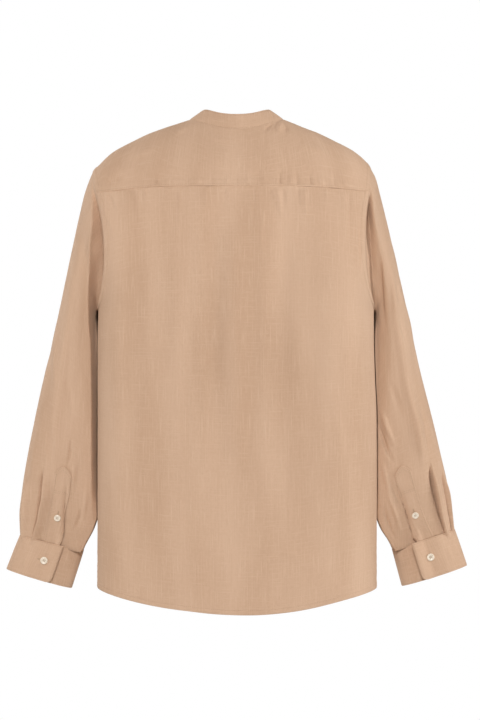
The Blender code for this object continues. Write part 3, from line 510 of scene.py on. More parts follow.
HEM_EDGE = (0.0, 0.0010, 0.0024, 0.0042, 0.0058, 0.0067, 0.0072, 0.0077, 0.0086, 0.0104)
COLLAR_EDGE = (0.0, 0.0004, 0.0009, 0.0013, 0.0017, 0.0022, 0.0032)
CUFF_EDGE = (0.0, 0.0005, 0.0010, 0.0015, 0.0020, 0.0026, 0.0036, 0.0052)
FACING_BACK = (0.15, 0.3)  # how far past its side, and over what, a sleeve's back half gives over
SLEEVE_R, CUFF_R, TURN_LONG = 0.09, 0.05, 0.0016  # metres for each radian and each degree round
SLEEVE_SEAM, SLEEVE_SEAM_WIDE = 150, 30  # degrees, over which two fields of crumple give over
RIDGE_FROM, RIDGE_OVER, RIDGE_END = 90, 25, 14  # degrees behind, from which the ridge is levelled
COLUMN_TURNS = ((180, 66, 76), (63, -180, 82))  # from a turn to a turn, and how many columns
PLEAT_COLUMNS, PLEAT_APART = (2.4, 1.2, 0.4, 0, -0.35, -0.8, -1.2, -1.5, -2.4, -4), 0.9  # degrees by a pleat
WARP_BESIDE, WARP_PAST = 40, 45  # degrees beside the pleats, over which columns follow them
SLEEVE_TOP = (0.0, 0.0006, 0.0013, *np.arange(0.0022, 0.036, 0.0018))
SLEEVE_END = (0.0, 0.0006, 0.0013, 0.0022, 0.0034)
ARMHOLE_UNDER = ((0.0040, 0.0013), (0.0022, 0.0013), (0.0009, 0.0012), (0.0001, 0.0010))  # in, and below
ARMHOLE_STITCH = 0.0090
RIGHT_FACING = 0.0330  # width of the right front's own turned edge
NECK_TUCK = 0.0020
COLLAR_UP, COLLAR_STITCH, COLLAR_ROUND = 0.0002, 0.0024, 0.0120
CUFF_LAP, CUFF_LIFT = 0.0024, {LEFT: 0.0042, RIGHT: 0.0110}  # the over end's, and at its edge
CUFF_UP, CUFF_STITCH, CUFF_ROUND, CUFF_BACK = 0.0006, 0.0026, 0.0090, -0.040
CUFF_SEAM_STITCH = 0.0018  # from the cuff's top
CUFF_GAPE = (1.25, 0.75)  # shares of that lift at the cuff's top and bottom
PLACKET_UP, PLACKET_STITCH, PLACKET_LIFT = 0.0016, 0.0016, {LEFT: 0.0040, RIGHT: 0.0065}
PLACKET_LIFT_LONG = 0.075  # up from the cuff, over which that lift goes
PLACKET_BARS = (0.0860, 0.0892)  # lines of stitches across a sleeve placket
STITCH_PITCH, STITCH_SIZE, STITCH_UP = 0.0030, (0.00115, 0.00030, 0.00024), 0.00004
STITCH_BATCH = 40
PLACKET_ARCH = 0.0060  # from a sleeve placket's top to the arch of stitches inside it
THREAD_R, BUTTON_OFF = 0.00035, 0.0010
BUTTONHOLE_AHEAD, BUTTONHOLE_SIZE = 0.0030, (0.0068, 0.0011, 0.0006)

THREADS = 2000  # yarns in a metre of the linen, each way
# The linen's dark and light ends: the yarns' own tones, and also the painted shade and light of the broad
# bands in the weave's tone
LINEN_DARK_AND_PAINTED_SHADE, LINEN_LIGHT_AND_PAINTED_LIGHT = (0.538, 0.364, 0.252, 1), (0.606, 0.426, 0.306, 1)
LINEN_SLUB = (0.662, 0.486, 0.358, 1)
# The thread's plies, darker than the cloth: painted shade of the dents that the stitches pull in and of the
# buttonholes' slits
THREAD_DARK_WITH_PAINTED_SHADE, THREAD_LIGHT_WITH_PAINTED_SHADE = (0.3854, 0.2665, 0.1763, 1), (0.47, 0.325, 0.215, 1)
BUTTON_SHADE, BUTTON_LIGHT = (0.74, 0.66, 0.54, 1), (0.90, 0.85, 0.75, 1)

CAMERA_PLACE, FRAME_HEIGHT, SENSOR = (-0.0056, 4.5, -0.369), 1.1448, 36
FLOOR_Z, FLOOR_HALF, FLOOR_COLOUR = -1.4, 2.0, (0.86, 0.86, 0.85, 1)
FILL, FILL_COLOUR = 0.19, (1.0, 0.74, 0.54, 1)
LIGHT_AIM, LIGHT_AWAY = (0, 0, -0.36), 4.2
LIGHT_COLOUR = (1.0, 0.985, 0.965)
LIGHTS = (  # degrees from straight behind towards the wearer's left, degrees up, size and power
    ("key", 2, 24, 1.0, 116),
    ("right_rim", -84, 12, 1.0, 98),
    ("left_fill", 74, 14, 1.4, 50),
    ("front_key", 140, 20, 1.4, 60),
)
UNDER_EASE, SEAM_EASE = 0.0030, 0.0020  # over which a dip or a doubling fades

STEP = 0.0034  # between the points of a cloth's grid
# Lengths by which that step is taken: round the back, a front and the yoke, up to and on from the underarm
BACK_ROUND, FRONT_ROUND, YOKE_ROUND = 0.60, 0.31, 0.56
TO_UNDERARM, BACK_ABOVE, FRONT_ABOVE, YOKE_DOWN, SLEEVE_DOWN = 0.46, 0.20, 0.21, 0.13, 0.60
WALL = 0.0009  # of one layer of the linen
CLEAR_EASE = 0.010  # below the underarm, over which a sleeve comes to stand off the torso
CRUMPLE = 0.00045  # height of the washed linen's fine unevenness
PUCKER_GAP, PUCKER_HALF, PUCKER_LEAN = (0.006, 0.013), (0.0020, 0.0045), (-0.25, 0.25)
FAINT_PUCKERS, LOW_PUCKERS, BOLD_PUCKERS = (0.0001, 0.0003), (0.0001, 0.0004), (0.0002, 0.0006)
RELIEF_EASE = 0.006  # over which relief comes up from an edge
RIM_EASE = 0.0016  # over which a folded rim comes to its full thickness
BACK_SEEDS, FRONT_SEEDS = (11, 21, 22, 23), (31, 41, 44, 47)  # of the crumple and of three seams' puckers
BOLDER, YOKE_BOLDER = 1.8, 2.0
MEETS, HALVINGS = 60, 40  # rounds until two lines meet and a height is found
FIELD, WANDER_LEANS = 257, (0.0, 0.31, -0.47)


def smooth(table, column, at):
    """One column of a table at places in its first column, as a cubic that never overshoots."""
    rows = np.array(table)
    knots, values = rows[:, 0], rows[:, column]
    step = np.diff(knots)
    slope = np.diff(values) / step
    product, total = slope[:-1] * slope[1:], slope[:-1] + slope[1:]
    inner = np.where(product > 0, 2 * product / np.where(product > 0, total, 1), 0)
    tangent = np.concatenate([slope[:1], inner, slope[-1:]])
    at = np.clip(at, knots[0], knots[-1])
    i = np.clip(np.searchsorted(knots, at) - 1, 0, len(step) - 1)
    t = (at - knots[i]) / step[i]
    rise = (values[i + 1] - values[i]) * t * t * (3 - 2 * t)
    return values[i] + rise + step[i] * (tangent[i] * t * (1 - t) ** 2 - tangent[i + 1] * t * t * (1 - t))


def bump(t):
    """1 at 0, smoothly down to 0 at -1 and 1."""
    return np.cos(np.clip(t, -1, 1) * math.pi / 2) ** 2


def ease(t):
    """Smoothly from 0 at 0 to 1 at 1."""
    t = np.clip(t, 0, 1)
    return t * t * (3 - 2 * t)


# ---------------------------------------------------------------- the surface of the shirt


def half_width(x, z):
    """Half width of the torso at a level, on the side of x."""
    return np.where(np.asarray(x) >= 0, smooth(TORSO, LEFT_HALF, z), smooth(TORSO, RIGHT_HALF, z))


def depth(face, z):
    return smooth(TORSO, BACK_DEPTH if face == BACK else FRONT_DEPTH, z)


def on_torso(x, z, face):
    """Points of the torso at places across and up, on its back or front."""
    x, z = np.broadcast_arrays(np.asarray(x, float), np.asarray(z, float))
    power = smooth(TORSO, SQUARE, z)
    share = np.clip(np.abs(x) / half_width(x, z), 0, 1)
    return np.stack([x, face * depth(face, z) * (1 - share**power) ** (1 / power), z], axis=-1)


def angle_of(x, z):
    """The angle round the section from the left side for a place across: 90 degrees in the middle."""
    power = smooth(TORSO, SQUARE, z)
    share = np.clip(x / half_width(x, z), -1, 1)
    return np.arctan2((1 - np.abs(share) ** power) ** (1 / power), share)


def squared_off(cosine, sine, power):
    """How far a rounded square reaches in a direction, as a share of its half width."""
    return (np.abs(cosine) ** power + np.abs(sine) ** power) ** (-1 / power)


def across(angle, z):
    """The place across for an angle round the section."""
    power = smooth(TORSO, SQUARE, z)
    cosine, sine = np.cos(angle), np.sin(angle)
    size = squared_off(cosine, sine, power)
    return half_width(cosine, z) * cosine * size


def ridge(x):
    """Height of the shoulder line."""
    z = np.linspace(TORSO[-1][Z], min(TIP_Z.values()), 400)
    left, right = smooth(TORSO, LEFT_HALF, z), smooth(TORSO, RIGHT_HALF, z)
    return np.where(np.asarray(x) >= 0, np.interp(np.abs(x), left, z), np.interp(np.abs(x), right, z))


def over_shoulder(x, root):
    """A point lower than the shoulder line by root squared, and behind the line where root is positive."""
    x, root = np.broadcast_arrays(np.asarray(x, float), np.asarray(root, float))
    z = ridge(x) - root**2
    return np.where((root >= 0)[..., None], on_torso(x, z, BACK), on_torso(x, z, FRONT))


def armhole_x(side, face, z):
    """Distance of the armhole's edge from the middle, between the shoulder tip and the underarm."""
    down = np.clip((TIP_Z[side] - z) / (TIP_Z[side] - UNDERARM_Z), 0, 1)
    return half_width(side, z) - ARMHOLE_INSET[side, face] * 4 * down * (1 - down)


def hem_z(x, face):
    middle = HEM_BACK_Z if face == BACK else HEM_FRONT_Z
    share = np.clip(np.abs(x) / half_width(x, HEM_SIDE_Z), 0, 1)
    return middle + (HEM_SIDE_Z - middle) * share**HEM_CURVE + smooth(HEM_WAVES, 1, x)


def yoke_back_z(x):
    return YOKE_BACK_Z - YOKE_END_DROP * (np.abs(x) / YOKE_END_X) ** YOKE_END_CURVE


def yoke_front_z(x):
    return ridge(x) - YOKE_FRONT_DROP


def where_meet(side, face, seam):
    """Where a yoke seam meets the armhole, as a distance from the middle."""
    x = NECK_SIDE
    for _ in range(MEETS):
        x = (x + float(armhole_x(side, face, seam(side * x)))) / 2
    return x


def height(x, y):
    """Height of the torso's upper surface over a place seen from above."""
    low, high = np.full(np.shape(x), UNDERARM_Z), np.full(np.shape(x), TORSO[-1][Z])
    for _ in range(HALVINGS):
        z = (low + high) / 2
        reach = np.where(y >= 0, depth(BACK, z), depth(FRONT, z))
        power = smooth(TORSO, SQUARE, z)
        outside = (np.abs(x) / half_width(x, z)) ** power + (np.abs(y) / reach) ** power > 1
        low, high = np.where(outside, low, z), np.where(outside, z, high)
    return (low + high) / 2


def neck_edge(turn):
    """Places across and up on the neck edge: the turn is 0 at the left side and 90 degrees behind."""
    cosine, sine = np.cos(turn), np.sin(turn)
    power = np.where(sine >= 0, NECK_SQUARE_BACK, NECK_SQUARE_FRONT)
    reach = np.where(sine >= 0, depth(BACK, NECK_BACK_Z), depth(FRONT, NECK_FRONT_Z))
    size = squared_off(cosine, sine, power)
    x = NECK_SIDE * cosine * size
    return x, height(x, reach * sine * size)


def neck_corner():
    """Turn from a side of the neck forward to the front yoke seam."""
    turn = np.linspace(0, math.pi / 2, 500)
    x, z = neck_edge(-turn)
    return float(np.interp(YOKE_FRONT_DROP, ridge(x) - z, turn))


def lap_turn():
    """Turn from a side of the neck forward to the end of a front's neck edge, past the middle."""
    return math.pi - math.acos(LAP / (NECK_SIDE * NECK_FRONT_WIDEN))


def lap_height(x):
    """How far out the left front lies, over the right one and just beside it."""
    return LAYER * (1 - ease((x - LAP_FULL) / (LAP_END - LAP_FULL)))


def rows_up(share, seam_z, level):
    """Heights from the underarm to a seam above, closer together by the armhole, whose edge turns level."""
    turn = ARMHOLE_TURN * level[:, None]
    by_armhole = (1 - np.cos(turn)) / (1 - math.cos(ARMHOLE_TURN))
    evenly = turn / ARMHOLE_TURN
    return UNDERARM_Z + (evenly + (by_armhole - evenly) * share**EDGE_PULL) * (seam_z - UNDERARM_Z)


def sleeve_rows(side):
    """The sleeve's table with each ring's place along the sleeve in front of it."""
    rows = in_metres(np.hstack([SLEEVE[side], SLEEVE_SECTION]), others=1)
    middle = np.stack([rows[:, OUT_X] + rows[:, IN_X], rows[:, OUT_Z] + rows[:, IN_Z]], axis=1) / 2
    along = lengths_along(middle)
    return np.column_stack([along / along[-1], rows])


def oval(side, row, turn):
    """Points of a sleeve's or a cuff's ring, for turns in degrees."""
    turn = np.radians(turn)
    cosine, sine = np.cos(turn), np.sin(turn)
    size = squared_off(cosine, sine, row[RING_SQUARE])
    ends = ((OUT_X, IN_X, cosine), (REACH_BACK, REACH_FRONT, sine), (OUT_Z, IN_Z, cosine))
    x, y, z = ((row[a] + row[b]) / 2 + (row[a] - row[b]) / 2 * (way * size) for a, b, way in ends)
    return np.stack([side * x, y, z], axis=-1)


def sleeve_ring(side, along):
    table = sleeve_rows(side)
    return [smooth(table, column + 1, along) for column in range(RING_SQUARE + 1)]


def clear_of_torso(points, side):
    """Points moved sideways where they would touch the torso below the armhole."""
    x, y, z = side * points[..., 0], points[..., 1], points[..., 2]
    power = smooth(TORSO, SQUARE, z)
    reach = np.where(y >= 0, depth(BACK, z), depth(FRONT, z))
    level = 1 - np.clip(np.abs(y) / reach, 0, 1) ** power
    surface = half_width(side, z) * level ** (1 / power) + BODY_CLEARANCE
    below = ease((UNDERARM_Z - z) / CLEAR_EASE)
    x = x + below * (np.maximum(x, surface) - x)
    return np.stack([side * x, y, z], axis=-1)


def turns_apart(turn, angle):
    return (turn - angle + 180) % 360 - 180


# ---------------------------------------------------------------- grids, and what is raised on them


def spaced(length, first=(0.0,), last=(0.0,), step=STEP):
    """Shares from 0 to 1 of a length: a step apart, and at the given distances in from its two ends."""
    count = math.ceil((length - first[-1] - last[-1]) / step)
    middle = np.linspace(first[-1], length - last[-1], count + 1)
    return np.concatenate([first[:-1], middle, length - np.array(last[:-1])[::-1]]) / length


def outward(grid, closed=False):
    """Unit directions out of a grid: its columns' direction crossed with its rows'."""
    rows, columns = np.gradient(grid, axis=0), np.gradient(grid, axis=1)
    if closed:
        columns[:, 0] = columns[:, -1] = grid[:, 1] - grid[:, -2]
    normal = np.cross(columns, rows)
    return normal / np.maximum(np.linalg.norm(normal, axis=-1, keepdims=True), 1e-12)


def raised(grid, distance, facing, closed=False):
    return grid + outward(grid, closed) * facing * np.asarray(distance)[..., None]


def unit(ways):
    return ways / np.linalg.norm(ways, axis=-1, keepdims=True)


def lengths_along(line):
    """Each point's distance from the first, along the line."""
    return np.concatenate([[0], np.cumsum(np.linalg.norm(np.diff(line, axis=0), axis=-1))])


def lined(grid, edge):
    """A grid's rows or columns in order from one of its edges."""
    axis, turned = edge
    return np.moveaxis(grid, axis, 0)[::turned]


def unlined(line, edge):
    axis, turned = edge
    return np.moveaxis(line[::turned], 0, axis)


def from_edge(grid, *edges):
    """Each point's distance from the nearest of these edges of its grid, along its column or row."""
    reaches = []
    for edge in edges:
        steps = np.linalg.norm(np.diff(lined(grid, edge), axis=0), axis=-1)
        reach = np.concatenate([np.zeros_like(steps[:1]), np.cumsum(steps, axis=0)])
        reaches.append(unlined(reach, edge))
    return np.minimum.reduce(reaches)


def beside(grid, edge, off):
    """Rows and columns of the line that runs along one edge of a grid at a distance in from it."""
    axis, turned = edge
    reach = lined(from_edge(grid, edge), edge)
    numbers = np.arange(len(reach))[::turned]
    inward = np.array([np.interp(off, column, numbers) for column in reach.T])
    ahead = np.arange(len(inward))
    return (inward, ahead) if axis == 0 else (ahead, inward)


def lapped(grid, edge):
    """The grid with one edge moved out over its neighbour."""
    line = lined(grid.copy(), edge)
    line[0] += LAP_OVER * unit(line[0] - line[1])
    return unlined(line, edge)


def tucked(grid, edge, facing, reach, dip, closed):
    """The grid with a strip past one edge, its seam allowance, which dips under the neighbouring piece."""
    line = lined(grid, edge)
    inward = -facing * lined(outward(grid, closed), edge)[0]
    step = unit(line[0] - line[1])
    reach, dip = (np.broadcast_to(size, line.shape[1])[:, None] for size in (reach, dip))
    strips = [line[0] + step * reach * out + inward * dip * down for out, down in TUCK_STEPS[::-1]]
    return unlined(np.concatenate([strips, line]), edge)


def padded(field, edge):
    """A field with its edge's values repeated over the strips that tucked() adds."""
    line = lined(field, edge)
    return unlined(np.concatenate([line[:1]] * len(TUCK_STEPS) + [line]), edge)


def at(grid, row, column):
    """A grid's values at fractional rows and columns."""
    row, column = np.broadcast_arrays(np.asarray(row, float), np.asarray(column, float))
    i = np.clip(np.floor(row).astype(int), 0, grid.shape[0] - 2)
    j = np.clip(np.floor(column).astype(int), 0, grid.shape[1] - 2)
    u, v = (row - i)[..., None], (column - j)[..., None]
    near = grid[i, j] * (1 - v) + grid[i, j + 1] * v
    return near + (grid[i + 1, j] * (1 - v) + grid[i + 1, j + 1] * v - near) * u


def creases(table, x, z, bolder=BOLDER):
    """Height of creases placed one by one."""
    total = np.zeros(np.broadcast(x, z).shape)
    for row in in_metres(table, others=1):
        run = np.array([row[TO_X] - row[FROM_X], row[TO_Z] - row[FROM_Z]])
        length = np.linalg.norm(run)
        over, up = x - row[FROM_X], z - row[FROM_Z]
        along = (over * run[0] + up * run[1]) / length**2
        aside = (over * run[1] - up * run[0]) / length - row[BOW] * 4 * along * (1 - along)
        before = np.clip(along / row[PEAK], 0, 1)
        after = np.clip((1 - along) / (1 - row[PEAK]), 0, 1)
        total += row[HIGH] * bump(aside / row[WIDE]) * ease(before) * ease(after)
    return total * bolder


def flutes(folds, x, z):
    """Height of the soft flutes that hang down the body."""
    total = np.zeros(np.broadcast(x, z).shape)
    for row in in_metres(folds):
        down = np.clip((row[TOP] - z) / (row[TOP] - row[BOTTOM]), 0, 1)
        total += row[DEEP] * np.sin(math.pi * down**0.7) * bump((x - row[PLACE]) / row[HALF_SPREAD])
    return total


def wander(seed, x, z, wide, long):
    """A smooth random height, from about -1 to 1, that changes over these distances."""
    draw = np.random.default_rng(seed).uniform(-1, 1, (FIELD, FIELD))
    total = 0
    for lean in WANDER_LEANS:
        i, j = (x + lean * z) / wide + FIELD / 2 + 9 * lean, (z - lean * x) / long + FIELD / 2
        low_i, low_j = np.floor(i).astype(int), np.floor(j).astype(int)
        u, v = ease(i - low_i), ease(j - low_j)
        corner = [[draw[(low_i + a) % FIELD, (low_j + b) % FIELD] for b in (0, 1)] for a in (0, 1)]
        total += (corner[0][0] * (1 - v) + corner[0][1] * v) * (1 - u)
        total += (corner[1][0] * (1 - v) + corner[1][1] * v) * u
    return total / len(WANDER_LEANS)


def crumple(seed, x, z, high=CRUMPLE):
    """The fine unevenness of washed linen: long soft streaks down the cloth, and small dents."""
    streaks = wander(seed, x, z, 0.011, 0.070)
    dents = wander(seed + 1, x, z, 0.024, 0.030)
    broad = wander(seed + 2, x, z, 0.075, 0.110)
    return high * (0.45 * streaks + 0.55 * dents + 1.3 * broad)


def puckers(seed, along, off, reach=(0.006, 0.020), high=(0.00015, 0.00055)):
    """Small seeded puckers across a seam: places along it and distances off it."""
    draw = np.random.default_rng(seed)
    total = np.zeros(np.broadcast(along, off).shape)
    place, stop = float(np.min(along)), float(np.max(along))
    while place < stop:
        lean, long, tall = (draw.uniform(*ends) for ends in (PUCKER_LEAN, reach, high))
        half = draw.uniform(*PUCKER_HALF)
        sign = draw.choice((-1, 1))
        total += sign * tall * bump((along - place - lean * off) / half) * (1 - ease(off / long))
        place += draw.uniform(*PUCKER_GAP)
    return total


def stitched(off, place=EDGE_STITCH):
    """The dent of a line of stitches at a distance from an edge."""
    return -GROOVE * bump((off - place) / GROOVE_HALF)


def doubled(off, wide=ALLOWANCE):
    """1 on the doubled cloth by an edge, and 0 past it."""
    return 1 - ease((off - wide) / SEAM_EASE)


def seam_over(off, stitch=EDGE_STITCH):
    return LAP_UP * doubled(off) + stitched(off, stitch)


def seam_under(off):
    return -LAP_DOWN * (1 - ease(off / UNDER_EASE))


def grain_of(grid, middle):
    """Each point's place on the flat cloth: the distance from a middle column, and the distance up it."""
    steps = np.linalg.norm(np.diff(grid, axis=1), axis=-1)
    over = np.concatenate([np.zeros_like(steps[:, :1]), np.cumsum(steps, axis=1)], axis=1)
    over = over - at(over[..., None], np.arange(len(over)), middle)
    up = from_edge(grid, FIRST_ROW)[:, [round(middle)]]
    return np.stack(np.broadcast_arrays(over, up), axis=-1)


# ---------------------------------------------------------------- the body's pieces


def back_places():
    """Places across and up on the back, from the hem to the yoke seam, and its underarm row."""
    share = spaced(BACK_ROUND, EDGE, EDGE)
    hem = hem_z(across(share * math.pi, HEM_BACK_Z), BACK)
    below = spaced(TO_UNDERARM, HEM_EDGE)
    below_z = hem + below[:, None] * (UNDERARM_Z - hem)
    seam_z = yoke_back_z(across(share * math.pi, YOKE_BACK_Z) * YOKE_SEAM_REACH)
    above_z = rows_up(np.abs(2 * share - 1), seam_z, spaced(BACK_ABOVE, last=EDGE)[1:])
    first = angle_of(armhole_x(LEFT, BACK, above_z[:, :1]), above_z[:, :1])
    last = angle_of(-armhole_x(RIGHT, BACK, above_z[:, -1:]), above_z[:, -1:])
    below_x = across(math.pi * share, below_z)
    above_x = across(first + (last - first) * share, above_z)
    return np.concatenate([below_x, above_x]), np.concatenate([below_z, above_z]), len(below) - 1


def front_places(side):
    """Places across and up on a front, from past the middle to the side seam, and its underarm row."""
    share = spaced(FRONT_ROUND, EDGE, EDGE)
    middle = float(angle_of(side * -LAP, HEM_FRONT_Z))
    end = 0.0 if side == LEFT else math.pi
    x = side * across(middle + (end - middle) * share, HEM_FRONT_Z)
    hem = hem_z(side * x, FRONT)
    below = spaced(TO_UNDERARM, HEM_EDGE)
    below_z = hem + below[:, None] * (UNDERARM_Z - hem)
    widened = x * half_width(side, below_z) / half_width(side, HEM_FRONT_Z)
    spread = ease((share - STRAIGHT_SHARE) / (SPREAD_SHARE - STRAIGHT_SHARE))
    below_x = x + (widened - x) * spread
    corner = neck_corner()
    turn = lap_turn() + (corner - lap_turn()) * np.clip(share / NECK_SHARE, 0, 1)
    neck_x, neck_z = neck_edge(-turn if side == LEFT else math.pi + turn)
    yoke_end = where_meet(side, FRONT, yoke_front_z)
    beyond = np.clip((share - NECK_SHARE) / (1 - NECK_SHARE), 0, 1)
    top_x = side * neck_x + (yoke_end - side * neck_x) * beyond
    top_z = np.where(share <= NECK_SHARE, neck_z, yoke_front_z(side * top_x))
    above_z = rows_up(share, top_z, spaced(FRONT_ABOVE, last=EDGE)[1:])
    above_x = below_x[-1] + (above_z - UNDERARM_Z) / (top_z - UNDERARM_Z) * (top_x - below_x[-1])
    above_x += (armhole_x(side, FRONT, above_z[:, -1:]) - above_x[:, -1:]) * share**EDGE_PULL
    x, z = side * np.concatenate([below_x, above_x]), np.concatenate([below_z, above_z])
    return x, z, len(below) - 1, share


def yoke_places():
    """Places across the yoke and roots down it, from the front seams and the neck to the back seam."""
    share = spaced(YOKE_ROUND, EDGE, EDGE)
    corner = neck_corner()
    fronts = {side: where_meet(side, FRONT, yoke_front_z) for side in (LEFT, RIGHT)}
    turn = np.interp(share, (SHOULDER_SHARE, 1 - SHOULDER_SHARE), (-corner, math.pi + corner))
    neck_x, neck_z = neck_edge(turn)
    top_root = np.sign(np.sin(turn)) * np.sqrt(np.maximum(ridge(neck_x) - neck_z, 0))
    by_neck = np.clip(np.minimum(share, 1 - share) / SHOULDER_SHARE, 0, 1)
    end_x = np.where(share < 0.5, fronts[LEFT], -fronts[RIGHT])
    top_x = end_x + (neck_x - end_x) * by_neck
    seam_z = yoke_back_z(across(share * math.pi, YOKE_BACK_Z) * YOKE_SEAM_REACH)
    first = angle_of(armhole_x(LEFT, BACK, seam_z[0]), seam_z[0])
    last = angle_of(-armhole_x(RIGHT, BACK, seam_z[-1]), seam_z[-1])
    low_x = across(first + (last - first) * share, seam_z)
    low_root = np.sqrt(ridge(low_x) - seam_z)
    down = spaced(YOKE_DOWN, EDGE, EDGE)[:, None]
    x = top_x + (low_x - top_x) * down ** (1 - NECK_COLUMN_SPREAD * by_neck)
    root = top_root + (low_root - top_root) * down
    for column, side, from_end in ((0, LEFT, share), (-1, RIGHT, 1 - share)):
        end = np.full(len(x), side * half_width(side, TIP_Z[side]))
        for _ in range(MEETS):
            z = ridge(end) - root[:, column] ** 2
            edge = np.where(root[:, column] >= 0, armhole_x(side, BACK, z), armhole_x(side, FRONT, z))
            end = (end + side * edge) / 2
        x += (end - x[:, column])[:, None] * (1 - ease(from_end / SHOULDER_FADE))
    return x, root, share


class Panel:
    """A piece of cloth in the making: its grid, its thickness in layers and its place on the flat cloth."""

    def __init__(self, grid, facing, closed=False, middle=None):
        self.grid, self.facing, self.closed = grid, facing, closed
        self.layers = np.ones(grid.shape[:2])
        self.grain = grain_of(grid, (grid.shape[1] - 1) / 2 if middle is None else middle)

    def raise_by(self, distance):
        self.grid = raised(self.grid, distance, self.facing, self.closed)

    def lap(self, edge):
        self.grid = lapped(self.grid, edge)

    def tuck(self, edge, reach=TUCK, dip=TUCK_DIP):
        self.grid = tucked(self.grid, edge, self.facing, reach, dip, self.closed)
        self.layers, self.grain = padded(self.layers, edge), padded(self.grain, edge)

    def fold(self, *edges):
        for edge in edges:
            self.tuck(edge, FOLD_REACH, FOLD_DIP)


def body_relief(panel, x, z, relief, seeds, side_off, side_seam, at_armhole):
    """Raises a body piece's own relief with what the back and the fronts share, and gives its bare grid."""
    hem_off, top_off = from_edge(panel.grid, FIRST_ROW), from_edge(panel.grid, LAST_ROW)
    hem, edge = doubled(hem_off, HEM_FOLD), doubled(side_off, ARMHOLE_STITCH)
    relief = relief + crumple(seeds[0], x, z) * (1 - 0.5 * hem)
    relief += puckers(seeds[1], x, top_off, high=LOW_PUCKERS)
    for seed, along, off in ((seeds[2], x, hem_off), (seeds[3], z, side_off)):
        relief += puckers(seed, along, off, high=FAINT_PUCKERS)
    relief += stitched(hem_off, HEM_FOLD) + seam_under(top_off) + side_seam * (1 - at_armhole)
    relief += (stitched(side_off, ARMHOLE_STITCH) + LAP_UP * edge) * at_armhole
    panel.raise_by(relief)
    panel.layers = 1 + 1.1 * hem + 0.7 * edge * at_armhole
    return panel.grid


def back_panel():
    x, z, underarm = back_places()
    grid = on_torso(x, z, BACK)
    grid[..., 1] += flutes(BACK_FOLDS, x, z)
    panel = Panel(grid, 1)
    side_off = from_edge(panel.grid, *SIDES)
    at_armhole = ease((z - UNDERARM_Z) / RELIEF_EASE)
    relief = creases(BACK_CREASES, x, z)
    bare = body_relief(panel, x, z, relief, BACK_SEEDS, side_off, seam_under(side_off), at_armhole)
    for edge in SIDES:
        column = 0 if edge == FIRST_COLUMN else -1
        share = at_armhole[:, column]
        panel.tuck(edge, TUCK + (FOLD_REACH - TUCK) * share, TUCK_DIP + (FOLD_DIP - TUCK_DIP) * share)
    panel.tuck(LAST_ROW)
    return panel, bare, underarm


def front_panel(side):
    x, z, underarm, share = front_places(side)
    panel = Panel(on_torso(x, z, FRONT), side, middle=0)
    edge_off, side_off = from_edge(panel.grid, FIRST_COLUMN), from_edge(panel.grid, LAST_COLUMN)
    at_armhole = ease((z - UNDERARM_Z) / RELIEF_EASE)
    relief = flutes(FRONT_FOLDS, x, z) + creases(FRONT_CREASES[side], x, z)
    relief += lap_height(x) if side == LEFT else stitched(edge_off, RIGHT_FACING)
    seeds = [seed + side for seed in FRONT_SEEDS]
    bare = body_relief(panel, x, z, relief, seeds, side_off, seam_over(side_off), at_armhole)
    panel.lap(LAST_COLUMN)
    panel.fold(LAST_COLUMN)
    panel.tuck(LAST_ROW, TUCK + (NECK_TUCK - TUCK) * np.pad(share < NECK_SHARE, (0, len(TUCK_STEPS))))
    return panel, bare, underarm


def yoke_panel():
    x, root, share = yoke_places()
    panel = Panel(over_shoulder(x, root), -1)
    z = panel.grid[..., 2]
    side_off = from_edge(panel.grid, *SIDES)
    top_off, seam_off = from_edge(panel.grid, FIRST_ROW), from_edge(panel.grid, LAST_ROW)
    by_neck = ((share > SHOULDER_SHARE) & (share < 1 - SHOULDER_SHARE)) * 1.0
    behind = ease(root / 0.05)
    out = creases(YOKE_CREASES, x, z, YOKE_BOLDER) * behind * ease(top_off / RELIEF_EASE)
    out += crumple(51, x, np.sign(root) * root**2)
    out += puckers(52, x, seam_off) + puckers(53, x, top_off, high=LOW_PUCKERS)
    out += seam_over(seam_off) + seam_over(top_off) * (1 - by_neck) + 0.4 * seam_under(top_off) * by_neck
    out += stitched(side_off, ARMHOLE_STITCH) + LAP_UP * doubled(side_off, ARMHOLE_STITCH)
    panel.raise_by(out)
    panel.layers = 1.9 + 0.3 * doubled(side_off, ARMHOLE_STITCH)
    bare = panel.grid
    panel.lap(LAST_ROW)
    panel.fold(*SIDES, LAST_ROW)
    by_neck = np.pad(by_neck, len(TUCK_STEPS))
    panel.tuck(FIRST_ROW, FOLD_REACH + (NECK_TUCK - FOLD_REACH) * by_neck, FOLD_DIP)
    return panel, bare


def front_placket_panel(front):
    """A strip down the left front's edge, from the neck to the hem."""
    rows = np.arange(front.shape[0])
    edge = np.array([np.interp(FRONT_PLACKET_EDGE, line[:, 0], np.arange(len(line))) for line in front])
    column = spaced(FRONT_PLACKET_EDGE + LAP, EDGE, EDGE) * edge[:, None]
    panel = Panel(at(front, rows[:, None], column), 1)
    side_off = from_edge(panel.grid, *SIDES)
    hem_off = from_edge(panel.grid, FIRST_ROW)
    x, z = panel.grid[..., 0], panel.grid[..., 2]
    out = PLACKET_UP + stitched(side_off, PLACKET_STITCH) + stitched(hem_off, HEM_FOLD)
    out += crumple(61, x, z, 0.0002) + puckers(62, z, side_off, high=FAINT_PUCKERS)
    panel.raise_by(out * np.ones(side_off.shape))
    panel.layers = 1.6 + 0 * side_off
    bare = panel.grid
    panel.fold(*SIDES, FIRST_ROW)
    return panel, bare


